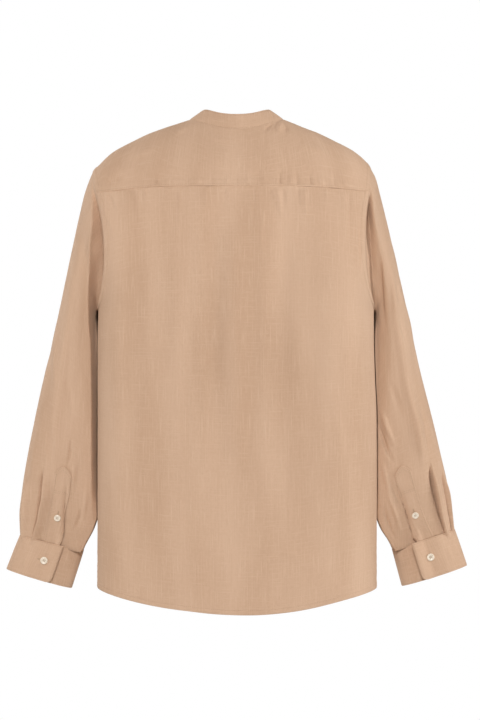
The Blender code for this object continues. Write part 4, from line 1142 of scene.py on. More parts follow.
def collar_panel():
    """A band that stands on the neck edge and leans in over it, its left end lying over its right one."""
    turn = np.linspace(math.pi + lap_turn(), -lap_turn(), COLLAR_COLUMNS)
    x, z = neck_edge(turn)
    edge = np.where((np.sin(turn) >= 0)[:, None], on_torso(x, z, BACK), on_torso(x, z, FRONT))
    edge[:, 1] -= np.where(turn < 0, lap_height(x), 0)
    sine = np.sin(turn)
    behind, beside, before = COLLAR_LEAN
    lean = beside + np.where(sine > 0, behind - beside, before - beside) * sine**2
    rise = np.sqrt(1 - lean**2)
    inward = -np.stack([np.cos(turn), sine, np.zeros_like(sine)], axis=-1)
    run = lengths_along(edge)
    end_off = np.minimum(run, run[-1] - run)
    corner = np.clip(1 - end_off / COLLAR_ROUND, 0, 1)
    tall = COLLAR_HEIGHT - COLLAR_ROUND * (1 - np.sqrt(1 - corner**2))
    up = tall[:, None] * (inward * lean[:, None] + rise[:, None] * np.array([0, 0, 1]))
    down = spaced(COLLAR_HEIGHT, COLLAR_EDGE, COLLAR_EDGE)
    panel = Panel(edge + down[:, None, None] * up, -1)
    base_off, top_off = from_edge(panel.grid, FIRST_ROW), from_edge(panel.grid, LAST_ROW)
    side_off = from_edge(panel.grid, *SIDES)
    rim_off = np.minimum(top_off, side_off)
    out = COLLAR_UP * ease(base_off / 0.004) + stitched(rim_off, COLLAR_STITCH)
    out += crumple(71, run + 0 * base_off, base_off, 0.00045)
    out += creases(COLLAR_CREASES, run + 0 * base_off, base_off)
    panel.raise_by(out)
    panel.layers = 2.0 - 0.7 * (1 - ease(rim_off / RIM_EASE)) - 0.8 * (1 - ease(base_off / 0.005))
    bare = panel.grid
    panel.tuck(FIRST_ROW, NECK_TUCK, NECK_TUCK / 2)
    return panel, bare


# ---------------------------------------------------------------- the sleeves and their cuffs


def armhole(side, back, yoke, front):
    """The armhole's edge from the underarm up the back, over and down the front, and its inside ways."""
    column = 0 if side == LEFT else -1
    inner = 1 if side == LEFT else -2
    parts = [(back, column, inner, 1, 1), (yoke, column, inner, -1, -1), (front, -1, -2, -1, side)]
    edges, inwards, normals = [], [], []
    for grid, end, beside, order, facing in parts:
        step = unit(grid[:, beside] - grid[:, end])
        edges.append(grid[::order, end][1:-1])
        inwards.append(step[::order][1:-1])
        normals.append(outward(grid)[::order, end][1:-1] * facing)
    lines = []
    for group in (edges, inwards, normals):
        line = np.concatenate(group)
        under = (line[:1] + line[-1:]) / 2
        lines.append(np.concatenate([under, line, under]))
    return lines


def armhole_turns(side, points):
    """Degrees round the sleeve for the armhole's points: 180 at the underarm, by 0 at the tip, to -180."""
    down = np.clip((TIP_Z[side] - points[:, 2]) / (TIP_Z[side] - UNDERARM_Z), 0, 1)
    turn = np.degrees(np.arccos(1 - 2 * down)) * np.sign(points[:, 1])
    turn[0], turn[-1] = 180, -180
    return turn


def folds_round(side, along, turn):
    total = np.zeros(np.broadcast(along, turn).shape)
    for row in SLEEVE_FOLDS[side]:
        down = np.clip((along - row[START]) / (row[END] - row[START]), 0, 1)
        aside = turns_apart(turn, row[ANGLE] + row[TURN] * down) / row[HALF_ANGLE]
        total += row[FOLD_DEEP] * np.sin(math.pi * down) * bump(aside)
    return total


def pleat_line(line, along):
    """A pleat's turn at places along the sleeve, and how much of its height and its width it has there."""
    places, turns = zip(*line)
    share = np.clip((along - places[0]) / (1 - places[0]), 0, 1)
    grown = ease(share / PLEAT_GROW) * (1 - PLEAT_SETTLE * ease((share - PLEAT_GROW) / (1 - PLEAT_GROW)))
    return np.interp(along, places, turns), grown, 1 - PLEAT_NARROW * share


def pleats_round(side, along, turn):
    """The folds of the pleats: up to a sharp edge on the placket's side, and a step down past it."""
    total = np.zeros(np.broadcast(along, turn).shape)
    for line, high in zip(PLEATS[side], PLEAT_HIGH[side]):
        place, grown, wide = pleat_line(line, along)
        past = PLEAT_WAY[side] * turns_apart(turn, place)
        over = ease(1 - past / PLEAT_RISE) * (past >= 0)
        step = np.clip(-past / PLEAT_STEP, 0, 1)
        under = (1 - step * PLEAT_DROP) * (past < 0) * (step < 1)
        under += -(PLEAT_DROP - 1) * ease(1 + past / (PLEAT_FALL[side] * wide)) * (step >= 1)
        total += high * grown * (over + under)
    return total


def sleeve_columns(side):
    """Turns of the sleeve's columns, closer together at the pleats, and how each row shifts them."""
    dense = [line[-1][1] for line in PLEATS[side]]
    turn = np.concatenate([np.linspace(*ends) for ends in COLUMN_TURNS])
    near = [place + PLEAT_WAY[side] * off for place in dense for off in PLEAT_COLUMNS]
    keep = [np.min(np.abs(value - np.array(near))) > PLEAT_APART or abs(value) == 180 for value in turn]
    return np.sort(np.concatenate([turn[keep], near]))[::-1]


def warped(side, along, turn):
    """The columns' turns at places along the sleeve, so that columns follow the pleats."""
    ends = [line[-1][1] for line in PLEATS[side]]
    shifts = [pleat_line(line, along)[0] - line[-1][1] for line in PLEATS[side]]
    knots = (-180, ends[1] - WARP_BESIDE, ends[1], ends[0], ends[0] + WARP_PAST, 180)
    rows = []
    for first, second in zip(*(np.ravel(shift) for shift in shifts)):
        rows.append(turn + np.interp(turn, knots, (0, 0, second, first, 0, 0)))
    return np.array(rows)


def facing_back(turn):
    """1 on the half of a sleeve that faces back, and 0 on the other."""
    past, wide = FACING_BACK
    return ease((np.sin(np.radians(turn)) + past) / wide)


def hollow(side, points, turn, along):
    """How far the back of a sleeve folds in, between its ridge and the body."""
    x, z = side * points[..., 0], points[..., 2]
    table = in_metres(HOLLOWS[side])
    ridge_x, body_x, deep = (smooth(table, column, z) for column in (RIDGE_X, BODY_X, HOLLOW_DEPTH))
    share = (ridge_x - x) / (ridge_x - body_x)
    fall = np.clip(share / HOLLOW_FALL[side], 0, 1) ** HOLLOW_CURVE[side]
    return deep * fall * facing_back(turn) * ease(along / HOLLOW_START)


def sleeve_surface(side, along, turn):
    """Points of the sleeve's bare surface, for places along it and turns round it."""
    row = sleeve_ring(side, along)
    return raised(oval(side, row, turn), folds_round(side, along, turn), side, closed=True)


def sleeve_panel(side, edge_lines):
    edge, inward, normal = edge_lines
    edge_turn = armhole_turns(side, edge)
    columns = sleeve_columns(side)
    along = spaced(SLEEVE_DOWN, SLEEVE_TOP, SLEEVE_END)[:, None]
    turn = warped(side, along, columns)
    lines = [
        np.stack([np.interp(-columns, -edge_turn, line[:, axis]) for axis in range(3)], axis=-1)
        for line in (edge, inward, normal)
    ]
    grid = sleeve_surface(side, along, turn)
    blend = (1 - np.clip(along / CAP_BLEND, 0, 1))[..., None] ** 2
    grid = grid + (lines[0] - grid[0]) * blend
    inner = ease((turn - RIDGE_FROM) / RIDGE_OVER) * ease((180 - turn) / RIDGE_END) * (1 - blend[..., 0])
    above, below = RIDGE_LEVEL[side]
    level = above + (below - above) * ease((UNDERARM_Z - grid[..., 2]) / LEVEL_EASE + 0.5)
    grid[..., 1] += (sleeve_ring(side, along)[REACH_BACK] - grid[..., 1]) * inner * level
    grid[..., 1] -= hollow(side, grid, turn, along)
    hug = bump(turns_apart(turn, HUG_TURN) / HUG_WIDE) * bump((grid[..., 2] - HUG_Z) / HUG_SPREAD)
    grid[..., 0] -= side * HUG * hug
    grid[1:] = clear_of_torso(grid[1:], side)
    out = UNDERARM_OUT * ease((np.abs(columns) - UNDERARM_TURNS[0]) / np.ptp(UNDERARM_TURNS))
    grid[..., 0] += side * out * (1 - ease(along / UNDERARM_SHARE))
    panel = Panel(grid, side, closed=True, middle=int(np.argmin(np.abs(columns))))
    x, z = grid[..., 0], grid[..., 2]
    end_off, top_off = from_edge(grid, LAST_ROW), from_edge(grid, FIRST_ROW)
    behind = facing_back(turn)
    relief = creases(SLEEVE_CREASES[side, BACK], x, z) * behind
    relief += creases(SLEEVE_CREASES[side, FRONT], x, z) * (1 - behind)
    around = np.radians(turn) * SLEEVE_R
    other = ease((np.abs(turn) - SLEEVE_SEAM) / SLEEVE_SEAM_WIDE)
    for shift, share in ((0, 1 - other), (0.5, other)):
        relief += crumple(81 + side, around + shift, z, 0.0005) * share
    relief += pleats_round(side, along, turn)
    relief += puckers(91 + side, turn * TURN_LONG, top_off, high=BOLD_PUCKERS, reach=(0.008, 0.022))
    relief += puckers(94 + side, turn * 0.0012, end_off, high=BOLD_PUCKERS) + seam_under(end_off)
    relief *= ease(top_off / RELIEF_EASE)
    relief[:, 0] = relief[:, -1] = (relief[:, 0] + relief[:, -1]) / 2
    panel.raise_by(relief)
    panel.layers += 0.8 * doubled(end_off, 0.004)
    bare = panel.grid
    under = [lines[0] + lines[1] * reach - lines[2] * dip for reach, dip in ARMHOLE_UNDER]
    panel.grid = np.concatenate([under, panel.grid])
    top = panel.grid[: len(under) + 1]
    top[:, 0] = top[:, -1] = (top[:, 0] + top[:, -1]) / 2
    panel.layers, panel.grain = (
        np.concatenate([field[:1]] * len(under) + [field]) for field in (panel.layers, panel.grain)
    )
    panel.tuck(LAST_ROW, 0.004, 0.0009)
    return panel, bare, turn


def cuff_panel(side):
    """Round the wrist and over its own start. The rows run down from the sleeve's end."""
    top = np.array([float(value) for value in sleeve_ring(side, 1.0)])
    bottom = in_metres(CUFF[side], others=1)
    turn = np.linspace(CUFF_START, CUFF_STOP, CUFF_COLUMNS)
    down = spaced(CUFF_DEEP, CUFF_EDGE, CUFF_EDGE)
    corner = np.clip(1 - np.radians(CUFF_STOP - turn) * CUFF_R / CUFF_ROUND, 0, 1)
    grid = np.empty((len(down), len(turn), 3))
    ring_top, ring_low = oval(side, top, turn), oval(side, bottom, turn)
    length = np.linalg.norm(ring_low - ring_top, axis=-1)
    short = 1 - CUFF_ROUND * (1 - np.sqrt(1 - corner**2)) / length
    for row, share in enumerate(down):
        share = share * short
        grid[row] = oval(side, [a + (b - a) * share for a, b in zip(top, bottom)], turn)
    panel = Panel(grid, -side)
    top_off, low_off = from_edge(grid, FIRST_ROW), from_edge(grid, LAST_ROW)
    first_off, last_off = from_edge(grid, FIRST_COLUMN), from_edge(grid, LAST_COLUMN)
    rim_off = np.minimum(low_off, last_off)
    out = CUFF_UP + CUFF_LAP * ease((turn - CUFF_LAP_FROM) / (CUFF_LAP_FULL - CUFF_LAP_FROM))
    lift = ease((turn - CUFF_BUTTON_TURN) / (CUFF_STOP - CUFF_BUTTON_TURN))
    out = out + CUFF_LIFT[side] * lift * (CUFF_GAPE[0] + (CUFF_GAPE[1] - CUFF_GAPE[0]) * down[:, None])
    pleated = pleats_round(side, np.ones(1), (turn + 180) % 360 - 180)
    out = out + 0.55 * pleated * (1 - ease(top_off / 0.012))
    out = out + stitched(top_off, CUFF_SEAM_STITCH) + stitched(rim_off, CUFF_STITCH)
    out += creases(CUFF_CREASES[side], grid[..., 0], grid[..., 2]) * (grid[..., 1] > CUFF_BACK)
    out += crumple(101 + side, np.radians(turn) * CUFF_R + 0 * top_off, top_off, 0.0006)
    out += puckers(104 + side, np.radians(turn) * CUFF_R, top_off, high=LOW_PUCKERS)
    panel.raise_by(out)
    panel.lap(FIRST_ROW)
    panel.layers = 2.2 - 0.8 * (1 - ease(np.minimum(np.minimum(rim_off, first_off), top_off) / RIM_EASE))
    return panel, panel.grid, turn


def sleeve_placket_panel(side, sleeve, turn):
    """A strip up the back of the sleeve from the cuff, pointed at its top."""
    last_row = sleeve.shape[0] - 1.0
    top_turn, cuff_turn = PLACKET_TURN[side]
    share = spaced(PLACKET_LENGTH, EDGE, EDGE, PLACKET_STEPS[0])
    across_share = spaced(2 * PLACKET_HALF, EDGE, EDGE, PLACKET_STEPS[1]) * 2 - 1
    length = PLACKET_LENGTH - PLACKET_POINT * np.abs(across_share) ** PLACKET_POINT_CURVE
    wanted = cuff_turn + (top_turn - cuff_turn) * share
    numbers = np.arange(sleeve.shape[1])
    line_column = np.interp(-cuff_turn, -turn[-1], numbers)
    climbed = lengths_along(at(sleeve, np.arange(sleeve.shape[0]), line_column)[::-1])
    lines = []
    for up, angle in zip(share[:, None] * length, wanted, strict=True):
        rows = last_row - np.interp(up, climbed, np.arange(len(climbed)))
        centre_row = int(round(rows[len(rows) // 2]))
        centre = np.interp(-angle, -turn[centre_row], numbers)
        columns = centre + PLACKET_COLUMNS
        reach = lengths_along(at(sleeve, rows[len(rows) // 2], columns))
        reach -= reach[len(reach) // 2]
        lines.append(at(sleeve, rows, np.interp(across_share * PLACKET_HALF, reach, columns)))
    panel = Panel(np.array(lines), -side)
    side_off = from_edge(panel.grid, *SIDES)
    top_off = from_edge(panel.grid, LAST_ROW)
    rim_off = np.minimum(side_off, top_off)
    run = from_edge(panel.grid, FIRST_ROW)
    lifted = PLACKET_LIFT[side] * ease((-0.2 - across_share) / 0.8) * (1 - ease(run / PLACKET_LIFT_LONG))
    out = PLACKET_UP + stitched(rim_off, PLACKET_STITCH) + lifted
    out = out + crumple(111 + side, across_share * PLACKET_HALF + 0 * run, run, 0.0003)
    for up in PLACKET_BARS:
        out = out - GROOVE * bump((run - up) / GROOVE_HALF)
    panel.raise_by(out)
    panel.layers = 1.7 + 0 * run
    bare = panel.grid
    panel.fold(*SIDES, LAST_ROW)
    return panel, bare


# ---------------------------------------------------------------- meshes


def mesh_of(name, shape):
    mesh = bpy.data.meshes.new(name)
    shape.to_mesh(mesh)
    shape.free()
    return mesh


def linked(name, data):
    made = bpy.data.objects.new(name, data)
    bpy.context.scene.collection.objects.link(made)
    return made


def sheet(node, panel, finish, sewn_on):
    """A piece of the shirt: a flat grid bent to the panel's points and given its wall.

    Its UV is its place on the flat cloth. Its argument sewn_on is not used.
    """
    rows, columns = panel.grid.shape[:2]
    shape = bmesh.new()
    bmesh.ops.create_grid(shape, x_segments=columns - 1, y_segments=rows - 1, size=0.5)
    piece = linked(f"{node}_linen", mesh_of(f"{node}_linen", shape))
    mesh = piece.data
    mesh.vertices.foreach_set("co", panel.grid.astype(np.float32).ravel())
    corners = np.empty(len(mesh.loops), np.int32)
    mesh.loops.foreach_get("vertex_index", corners)
    grain = mesh.uv_layers.new(name="grain")
    grain.uv.foreach_set("vector", panel.grain.reshape(-1, 2)[corners].astype(np.float32).ravel())
    most = float(panel.layers.max())
    shares = panel.layers.ravel() / most
    if panel.closed:
        shape = bmesh.new()
        shape.from_mesh(mesh)
        kept = [vertex.index for vertex in shape.verts if vertex.index % columns < columns - 1]
        shape.verts.ensure_lookup_table()
        seam = {shape.verts[r * columns + columns - 1]: shape.verts[r * columns] for r in range(rows)}
        bmesh.ops.weld_verts(shape, targetmap=seam)
        shape.to_mesh(mesh)
        shape.free()
        shares = shares[kept]
    mesh.materials.append(finish)
    mesh.shade_smooth()
    group = piece.vertex_groups.new(name="layers")
    steps = np.round(shares, 3)
    for share in np.unique(steps):
        group.add(np.flatnonzero(steps == share).tolist(), float(share), "REPLACE")
    wall = piece.modifiers.new("wall", "SOLIDIFY")
    wall.thickness = WALL * most
    wall.offset = 0
    wall.vertex_group = "layers"
    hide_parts(node)
    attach(piece, "root")


def frame_at(grid, row, column, facing):
    """A place on a grid, and the directions along its columns, along its rows and outwards there."""
    place = at(grid, row, column)
    over = at(grid, row, column + 0.5) - at(grid, row, column - 0.5)
    up = at(grid, row + 0.5, column) - at(grid, row - 0.5, column)
    out = np.cross(over, up) * facing
    return place, unit(over), unit(up), unit(out)


def placed(place, along, out, size):
    """A matrix that lays a shape's x along one direction and its z outwards."""
    along = unit(along - out * np.dot(along, out))
    turned = Matrix([*zip(along, np.cross(out, along), out)]).to_4x4()
    return Matrix.Translation(place) @ turned @ Matrix.Diagonal((*size, 1))


def added(name, shape, finish, node=None):
    """A shape made in place as a piece of the shirt."""
    piece = linked(name, mesh_of(name, shape))
    piece.data.shade_smooth()
    piece.data.materials.append(finish)
    if node:
        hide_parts(node)
    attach(piece, "root")
    return piece


def stitch_rows(name, facing, lines, finish):
    """Short stitches along lines on grids: each is a grid, its rows and columns, and the cloth's layers."""
    shape = bmesh.new()
    batch = bpy.data.meshes.new(name)
    for grid, (rows, columns), layers in lines:
        rows, columns = np.broadcast_arrays(np.asarray(rows, float), np.asarray(columns, float))
        path = at(grid, rows, columns)
        run = lengths_along(path)
        count = max(int(run[-1] / STITCH_PITCH), 1)
        middles = (np.arange(count) + 0.5) * run[-1] / count
        row_at, column_at = (np.interp(middles, run, part) for part in (rows, columns))
        ahead = np.stack([np.interp(middles + 0.001, run, path[:, axis]) for axis in range(3)], axis=-1)
        behind = np.stack([np.interp(middles - 0.001, run, path[:, axis]) for axis in range(3)], axis=-1)
        for first in range(0, count, STITCH_BATCH):
            few = bmesh.new()
            for n in range(first, min(first + STITCH_BATCH, count)):
                place, _, _, out = frame_at(grid, row_at[n], column_at[n], facing)
                middle = place + out * (layers * WALL / 2 + STITCH_UP)
                matrix = placed(middle, ahead[n] - behind[n], out, STITCH_SIZE)
                bmesh.ops.create_uvsphere(few, u_segments=5, v_segments=4, radius=1.0, matrix=matrix)
            few.to_mesh(batch)
            few.free()
            shape.from_mesh(batch)
    bpy.data.meshes.remove(batch)
    return added(name, shape, finish)


def rows_by(grid, *places):
    """Lines of stitches by a grid's edges: each place is an edge, a distance from it and its layers."""
    return [(grid, beside(grid, edge, off), layers) for edge, off, layers in places]


def back_stitches(bare, underarm, finish):
    lines = rows_by(bare, (FIRST_ROW, HEM_FOLD, 2.0))
    lines += rows_by(bare[underarm:], *((edge, ARMHOLE_STITCH, 1.6) for edge in SIDES))
    return stitch_rows("back_stitches", 1, lines, finish)


def front_stitches(side, bare, underarm, finish):
    lines = rows_by(bare, (FIRST_ROW, HEM_FOLD, 2.0))
    lines += rows_by(bare[underarm:], (LAST_COLUMN, ARMHOLE_STITCH, 1.6))
    lines += rows_by(bare[: underarm + 1], (LAST_COLUMN, EDGE_STITCH, 1.0))
    if side == RIGHT:
        lines += rows_by(bare, (FIRST_COLUMN, RIGHT_FACING, 1.0))
    return stitch_rows(f"front_{SIDE_NAMES[side]}_stitches", side, lines, finish)


def yoke_stitches(bare, finish):
    rows, columns = beside(bare, FIRST_ROW, EDGE_STITCH)
    share = spaced(YOKE_ROUND, EDGE, EDGE)
    lines = rows_by(bare, (LAST_ROW, EDGE_STITCH, 1.9), *((edge, ARMHOLE_STITCH, 2.1) for edge in SIDES))
    for seam in (share <= SHOULDER_SHARE, share >= 1 - SHOULDER_SHARE):
        lines.append((bare, (rows[seam], columns[seam]), 1.9))
    return stitch_rows("yoke_stitches", -1, lines, finish)


def front_placket_stitches(bare, finish):
    lines = rows_by(bare, *((edge, PLACKET_STITCH, 1.6) for edge in SIDES))
    return stitch_rows("front_placket_stitches", 1, lines, finish)


def collar_stitches(bare, finish):
    lines = rows_by(bare, (LAST_ROW, COLLAR_STITCH, 2.0), (FIRST_ROW, EDGE_STITCH, 1.3))
    return stitch_rows("collar_stitches", -1, lines, finish)


def sleeve_placket_stitches(side, bare, finish):
    lines = rows_by(bare, *((edge, PLACKET_STITCH, 1.7) for edge in SIDES))
    over = [(LAST_ROW, off) for off in (PLACKET_STITCH, PLACKET_ARCH)]
    over += [(FIRST_ROW, off) for off in PLACKET_BARS]
    for grid, (rows, columns), layers in rows_by(bare, *((edge, off, 1.7) for edge, off in over)):
        lines.append((grid, (rows[2:-2], columns[2:-2]), layers))
    return stitch_rows(f"sleeve_placket_{SIDE_NAMES[side]}_stitches", -side, lines, finish)


def cuff_stitches(side, bare, finish):
    lines = rows_by(bare, *((edge, CUFF_STITCH, 2.1) for edge in (LAST_ROW, LAST_COLUMN)))
    lines += rows_by(bare, (FIRST_ROW, CUFF_SEAM_STITCH, 2.0))
    return stitch_rows(f"cuff_{SIDE_NAMES[side]}_stitches", -side, lines, finish)


def spun(shape, outline, steps):
    turns = {"axis": (0, 0, 1), "cent": (0, 0, 0), "angle": math.tau, "use_merge": True}
    bmesh.ops.spin(shape, geom=outline, steps=steps, **turns)


def button_shape():
    """A dished disc with a rounded rim and four drilled holes, face up on its origin."""
    shape = bmesh.new()
    line = [
        shape.verts.new((BUTTON_R * radius, 0, BUTTON_T * up - BUTTON_DISH * dished))
        for radius, up, dished in BUTTON_PROFILE
    ]
    for start, stop in zip(line, line[1:]):
        shape.edges.new((start, stop))
    spun(shape, shape.verts[:] + shape.edges[:], 32)
    bmesh.ops.remove_doubles(shape, verts=shape.verts, dist=1e-6)
    bmesh.ops.recalc_face_normals(shape, faces=shape.faces)
    blank = linked("button_blank", mesh_of("button_disc", shape))
    drill = bmesh.new()
    for x in (-HOLE_PITCH, HOLE_PITCH):
        for y in (-HOLE_PITCH, HOLE_PITCH):
            hole = {"cap_ends": True, "segments": 12, "radius1": HOLE_R, "radius2": HOLE_R}
            bmesh.ops.create_cone(drill, depth=4 * BUTTON_T, matrix=Matrix.Translation((x, y, 0)), **hole)
    cutter = linked("button_cutter", mesh_of("button_holes", drill))
    cut = blank.modifiers.new("holes", "BOOLEAN")
    cut.object, cut.operation, cut.solver = cutter, "DIFFERENCE", "EXACT"
    bpy.context.view_layer.update()
    mesh = bpy.data.meshes.new_from_object(blank.evaluated_get(bpy.context.evaluated_depsgraph_get()))
    for piece in (blank, cutter):
        bpy.data.objects.remove(piece)
    return mesh


def sew_on(node, disc, spot, size, along, finishes):
    """A button on a place of the cloth, its sewing thread, and the buttonhole that it holds."""
    place, over, up, out = spot
    run = over * along[0] + up * along[1]
    shape = bmesh.new()
    shape.from_mesh(disc)
    seat = place + out * (BUTTON_OFF + 0.0002)
    tilt = placed(seat, over + 0.3 * up, out, (size, size, size))
    bmesh.ops.transform(shape, matrix=tilt, verts=shape.verts)
    button = added(f"{node}_disc", shape, finishes["button"], node)
    button.data.set_sharp_from_angle(angle=math.radians(50))
    shape = bmesh.new()
    for x in (-HOLE_PITCH, HOLE_PITCH):
        top = BUTTON_T - BUTTON_DISH + 0.0001
        bar = tilt @ Matrix.Translation((x, 0, top)) @ Matrix.Rotation(math.pi / 2, 4, "X")
        bar = bar @ Matrix.Diagonal((1, 0.6, 1, 1))
        barrel = {"cap_ends": True, "segments": 8, "radius1": THREAD_R, "radius2": THREAD_R}
        bmesh.ops.create_cone(shape, depth=2 * HOLE_PITCH, matrix=bar, **barrel)
        for y in (-HOLE_PITCH, HOLE_PITCH):
            down = tilt @ Matrix.Translation((x, y, top - BUTTON_T / 2))
            bmesh.ops.create_cone(shape, depth=BUTTON_T + 0.0012, matrix=down, **barrel)
    thread = added(f"{node}_thread", shape, finishes["thread"])
    # The buttonhole's lip takes the darkened thread, whose dark line is painted shade of the slit
    hole = place + run * BUTTONHOLE_AHEAD
    shape = bmesh.new()
    upright = Matrix.Translation((1, 0, 0)) @ Matrix.Rotation(math.pi / 2, 4, "X")
    lip = bmesh.ops.create_circle(shape, segments=6, radius=0.30, matrix=upright)
    spun(shape, lip["verts"] + shape.edges[:], 28)
    bmesh.ops.recalc_face_normals(shape, faces=shape.faces)
    lay = placed(hole + out * BUTTON_OFF * 0.8, run, out, BUTTONHOLE_SIZE)
    bmesh.ops.transform(shape, matrix=lay, verts=shape.verts)
    return [button, thread, added(f"{node}_hole", shape, finishes["thread"])]


# ---------------------------------------------------------------- materials


def node(tree, kind, inputs=None, **settings):
    """A node with its settings and inputs: a value is set, and a socket is linked."""
    made = tree.nodes.new(kind)
    for key, value in settings.items():
        setattr(made, key, value)
    for key, value in (inputs or {}).items():
        if isinstance(value, bpy.types.NodeSocket):
            tree.links.new(value, made.inputs[key])
        else:
            made.inputs[key].default_value = value
    return made


def maths(tree, operation, first, second=0.0):
    return node(tree, "ShaderNodeMath", {0: first, 1: second}, operation=operation).outputs[0]


def noise(tree, place, scale, detail=1.0, roughness=0.5):
    """Noise that is stretched: its scale is how many times it changes in a metre, each way."""
    spread = node(tree, "ShaderNodeMapping", {"Vector": place, "Scale": scale}, vector_type="POINT")
    sockets = {"Vector": spread.outputs[0], "Scale": 1.0, "Detail": detail, "Roughness": roughness}
    return node(tree, "ShaderNodeTexNoise", sockets, noise_dimensions="2D").outputs[0]


def mix(tree, share, first, second):
    """The second colour over the first by a share."""
    return node(tree, "ShaderNodeMix", {0: share, 6: first, 7: second}, data_type="RGBA").outputs[2]


def weighed(tree, *parts):
    """The sum of sockets, each times its weight."""
    total, *others = (maths(tree, "MULTIPLY", value, weight) for value, weight in parts)
    for value in others:
        total = maths(tree, "ADD", total, value)
    return total


def join(tree, shader, **sockets):
    for key, value in sockets.items():
        tree.links.new(value, shader.inputs[key.replace("_", " ")])


def ramp(tree, value, low, high):
    sockets = {"Value": value, "From Min": low, "From Max": high}
    return node(tree, "ShaderNodeMapRange", sockets, clamp=True).outputs[0]


def weave_and_painted_bands_group():
    """Linen's plain weave and its uneven yarns, with broad soft bands of painted shade and light down the
    cloth, on a place in metres on the flat cloth.
    """
    group = bpy.data.node_groups.new("linen_weave_and_painted_bands", "ShaderNodeTree")
    group.interface.new_socket("Place", in_out="INPUT", socket_type="NodeSocketVector")
    threads = group.interface.new_socket("Threads", in_out="INPUT", socket_type="NodeSocketFloat")
    threads.default_value = THREADS
    for label in ("Tone_and_painted_bands", "Slubs", "Height"):
        group.interface.new_socket(label, in_out="OUTPUT", socket_type="NodeSocketFloat")
    given, put = group.nodes.new("NodeGroupInput"), group.nodes.new("NodeGroupOutput")
    place = given.outputs["Place"]
    parts = node(group, "ShaderNodeSeparateXYZ", {0: place})
    waves = []
    for axis in (0, 1):
        turned = maths(group, "MULTIPLY", parts.outputs[axis], given.outputs["Threads"])
        waves.append(maths(group, "SINE", maths(group, "MULTIPLY", turned, math.pi)))
    crossing = maths(group, "MULTIPLY", waves[0], waves[1])
    warp = noise(group, place, (1100, 9, 1))
    weft = noise(group, place, (12, 1100, 1))
    warp_slub = ramp(group, noise(group, place, (620, 22, 1)), 0.56, 0.78)
    weft_slub = ramp(group, noise(group, place, (24, 560, 1)), 0.58, 0.80)
    slubs = maths(group, "MAXIMUM", warp_slub, maths(group, "MULTIPLY", weft_slub, 0.8))
    mottle = noise(group, place, (230, 190, 1), 3.0, 0.6)
    # broad: soft bands down the cloth, painted shade and light that stand in for the shading of soft folds,
    # not a tone the linen has
    broad = ramp(group, noise(group, place, (17, 3.2, 1)), 0.30, 0.70)
    tone_and_painted_bands = weighed(group, (warp, 0.28), (weft, 0.10), (mottle, 0.30), (broad, 0.32))
    tall = weighed(group, (warp, 0.5), (weft, 0.4), (crossing, 0.35), (slubs, 0.7), (mottle, 0.6))
    for label, value in (("Tone_and_painted_bands", tone_and_painted_bands), ("Slubs", slubs), ("Height", tall)):
        group.links.new(value, put.inputs[label])
    return group


def finish(name, roughness, **sockets):
    made = bpy.data.materials.new(name)
    made.use_nodes = True
    shader = made.node_tree.nodes["Principled BSDF"]
    shader.inputs["Roughness"].default_value = roughness
    for key, value in sockets.items():
        shader.inputs[key.replace("_", " ")].default_value = value
    return made, made.node_tree, shader


def linen():
    """Linen cloth: two tones of yarn mixed with painted shade and light in broad bands, pale slubs, and a
    dry surface with a faint sheen.
    """
    sheen = {"Sheen_Weight": 0.18, "Sheen_Roughness": 0.5, "Sheen_Tint": (1.0, 0.86, 0.70, 1)}
    made, tree, shader = finish("linen", 0.88, Specular_IOR_Level=0.25, **sheen)
    place = node(tree, "ShaderNodeUVMap", uv_map="grain").outputs[0]
    threads = node(tree, "ShaderNodeGroup", node_tree=weave_and_painted_bands_group())
    tree.links.new(place, threads.inputs["Place"])
    # The tone mixes the yarns' own tones with painted shade and light in broad bands down the cloth
    tone_and_painted_bands = ramp(tree, threads.outputs["Tone_and_painted_bands"], 0.32, 0.68)
    share = maths(tree, "MULTIPLY", threads.outputs["Slubs"], 0.45)
    yarn = mix(tree, share, mix(tree, tone_and_painted_bands, LINEN_DARK_AND_PAINTED_SHADE, LINEN_LIGHT_AND_PAINTED_LIGHT), LINEN_SLUB)
    rough = ramp(tree, threads.outputs["Tone_and_painted_bands"], 0.0, 1.0)
    rough = maths(tree, "ADD", maths(tree, "MULTIPLY", rough, 0.12), 0.82)
    sockets = {"Strength": 0.55, "Distance": 0.0004, "Height": threads.outputs["Height"]}
    normal = node(tree, "ShaderNodeBump", sockets).outputs[0]
    join(tree, shader, Base_Color=yarn, Roughness=rough, Normal=normal)
    return made


def thread():
    """Sewing thread: fine twisted plies across each stitch, coloured darker than the cloth as painted shade
    of the stitches' dents and of the buttonholes.
    """
    made, tree, shader = finish("sewing_thread_painted_dark", 0.7, Sheen_Weight=0.2)
    place = node(tree, "ShaderNodeTexCoord").outputs["Object"]
    sockets = {"Vector": place, "Scale": 900.0, "Detail": 2.0}
    twist = node(tree, "ShaderNodeTexNoise", sockets).outputs[0]
    mixed = mix(tree, twist, THREAD_DARK_WITH_PAINTED_SHADE, THREAD_LIGHT_WITH_PAINTED_SHADE)
    normal = node(tree, "ShaderNodeBump", {"Strength": 0.4, "Distance": 0.0001, "Height": twist}).outputs[0]
    join(tree, shader, Base_Color=mixed, Normal=normal)
    return made


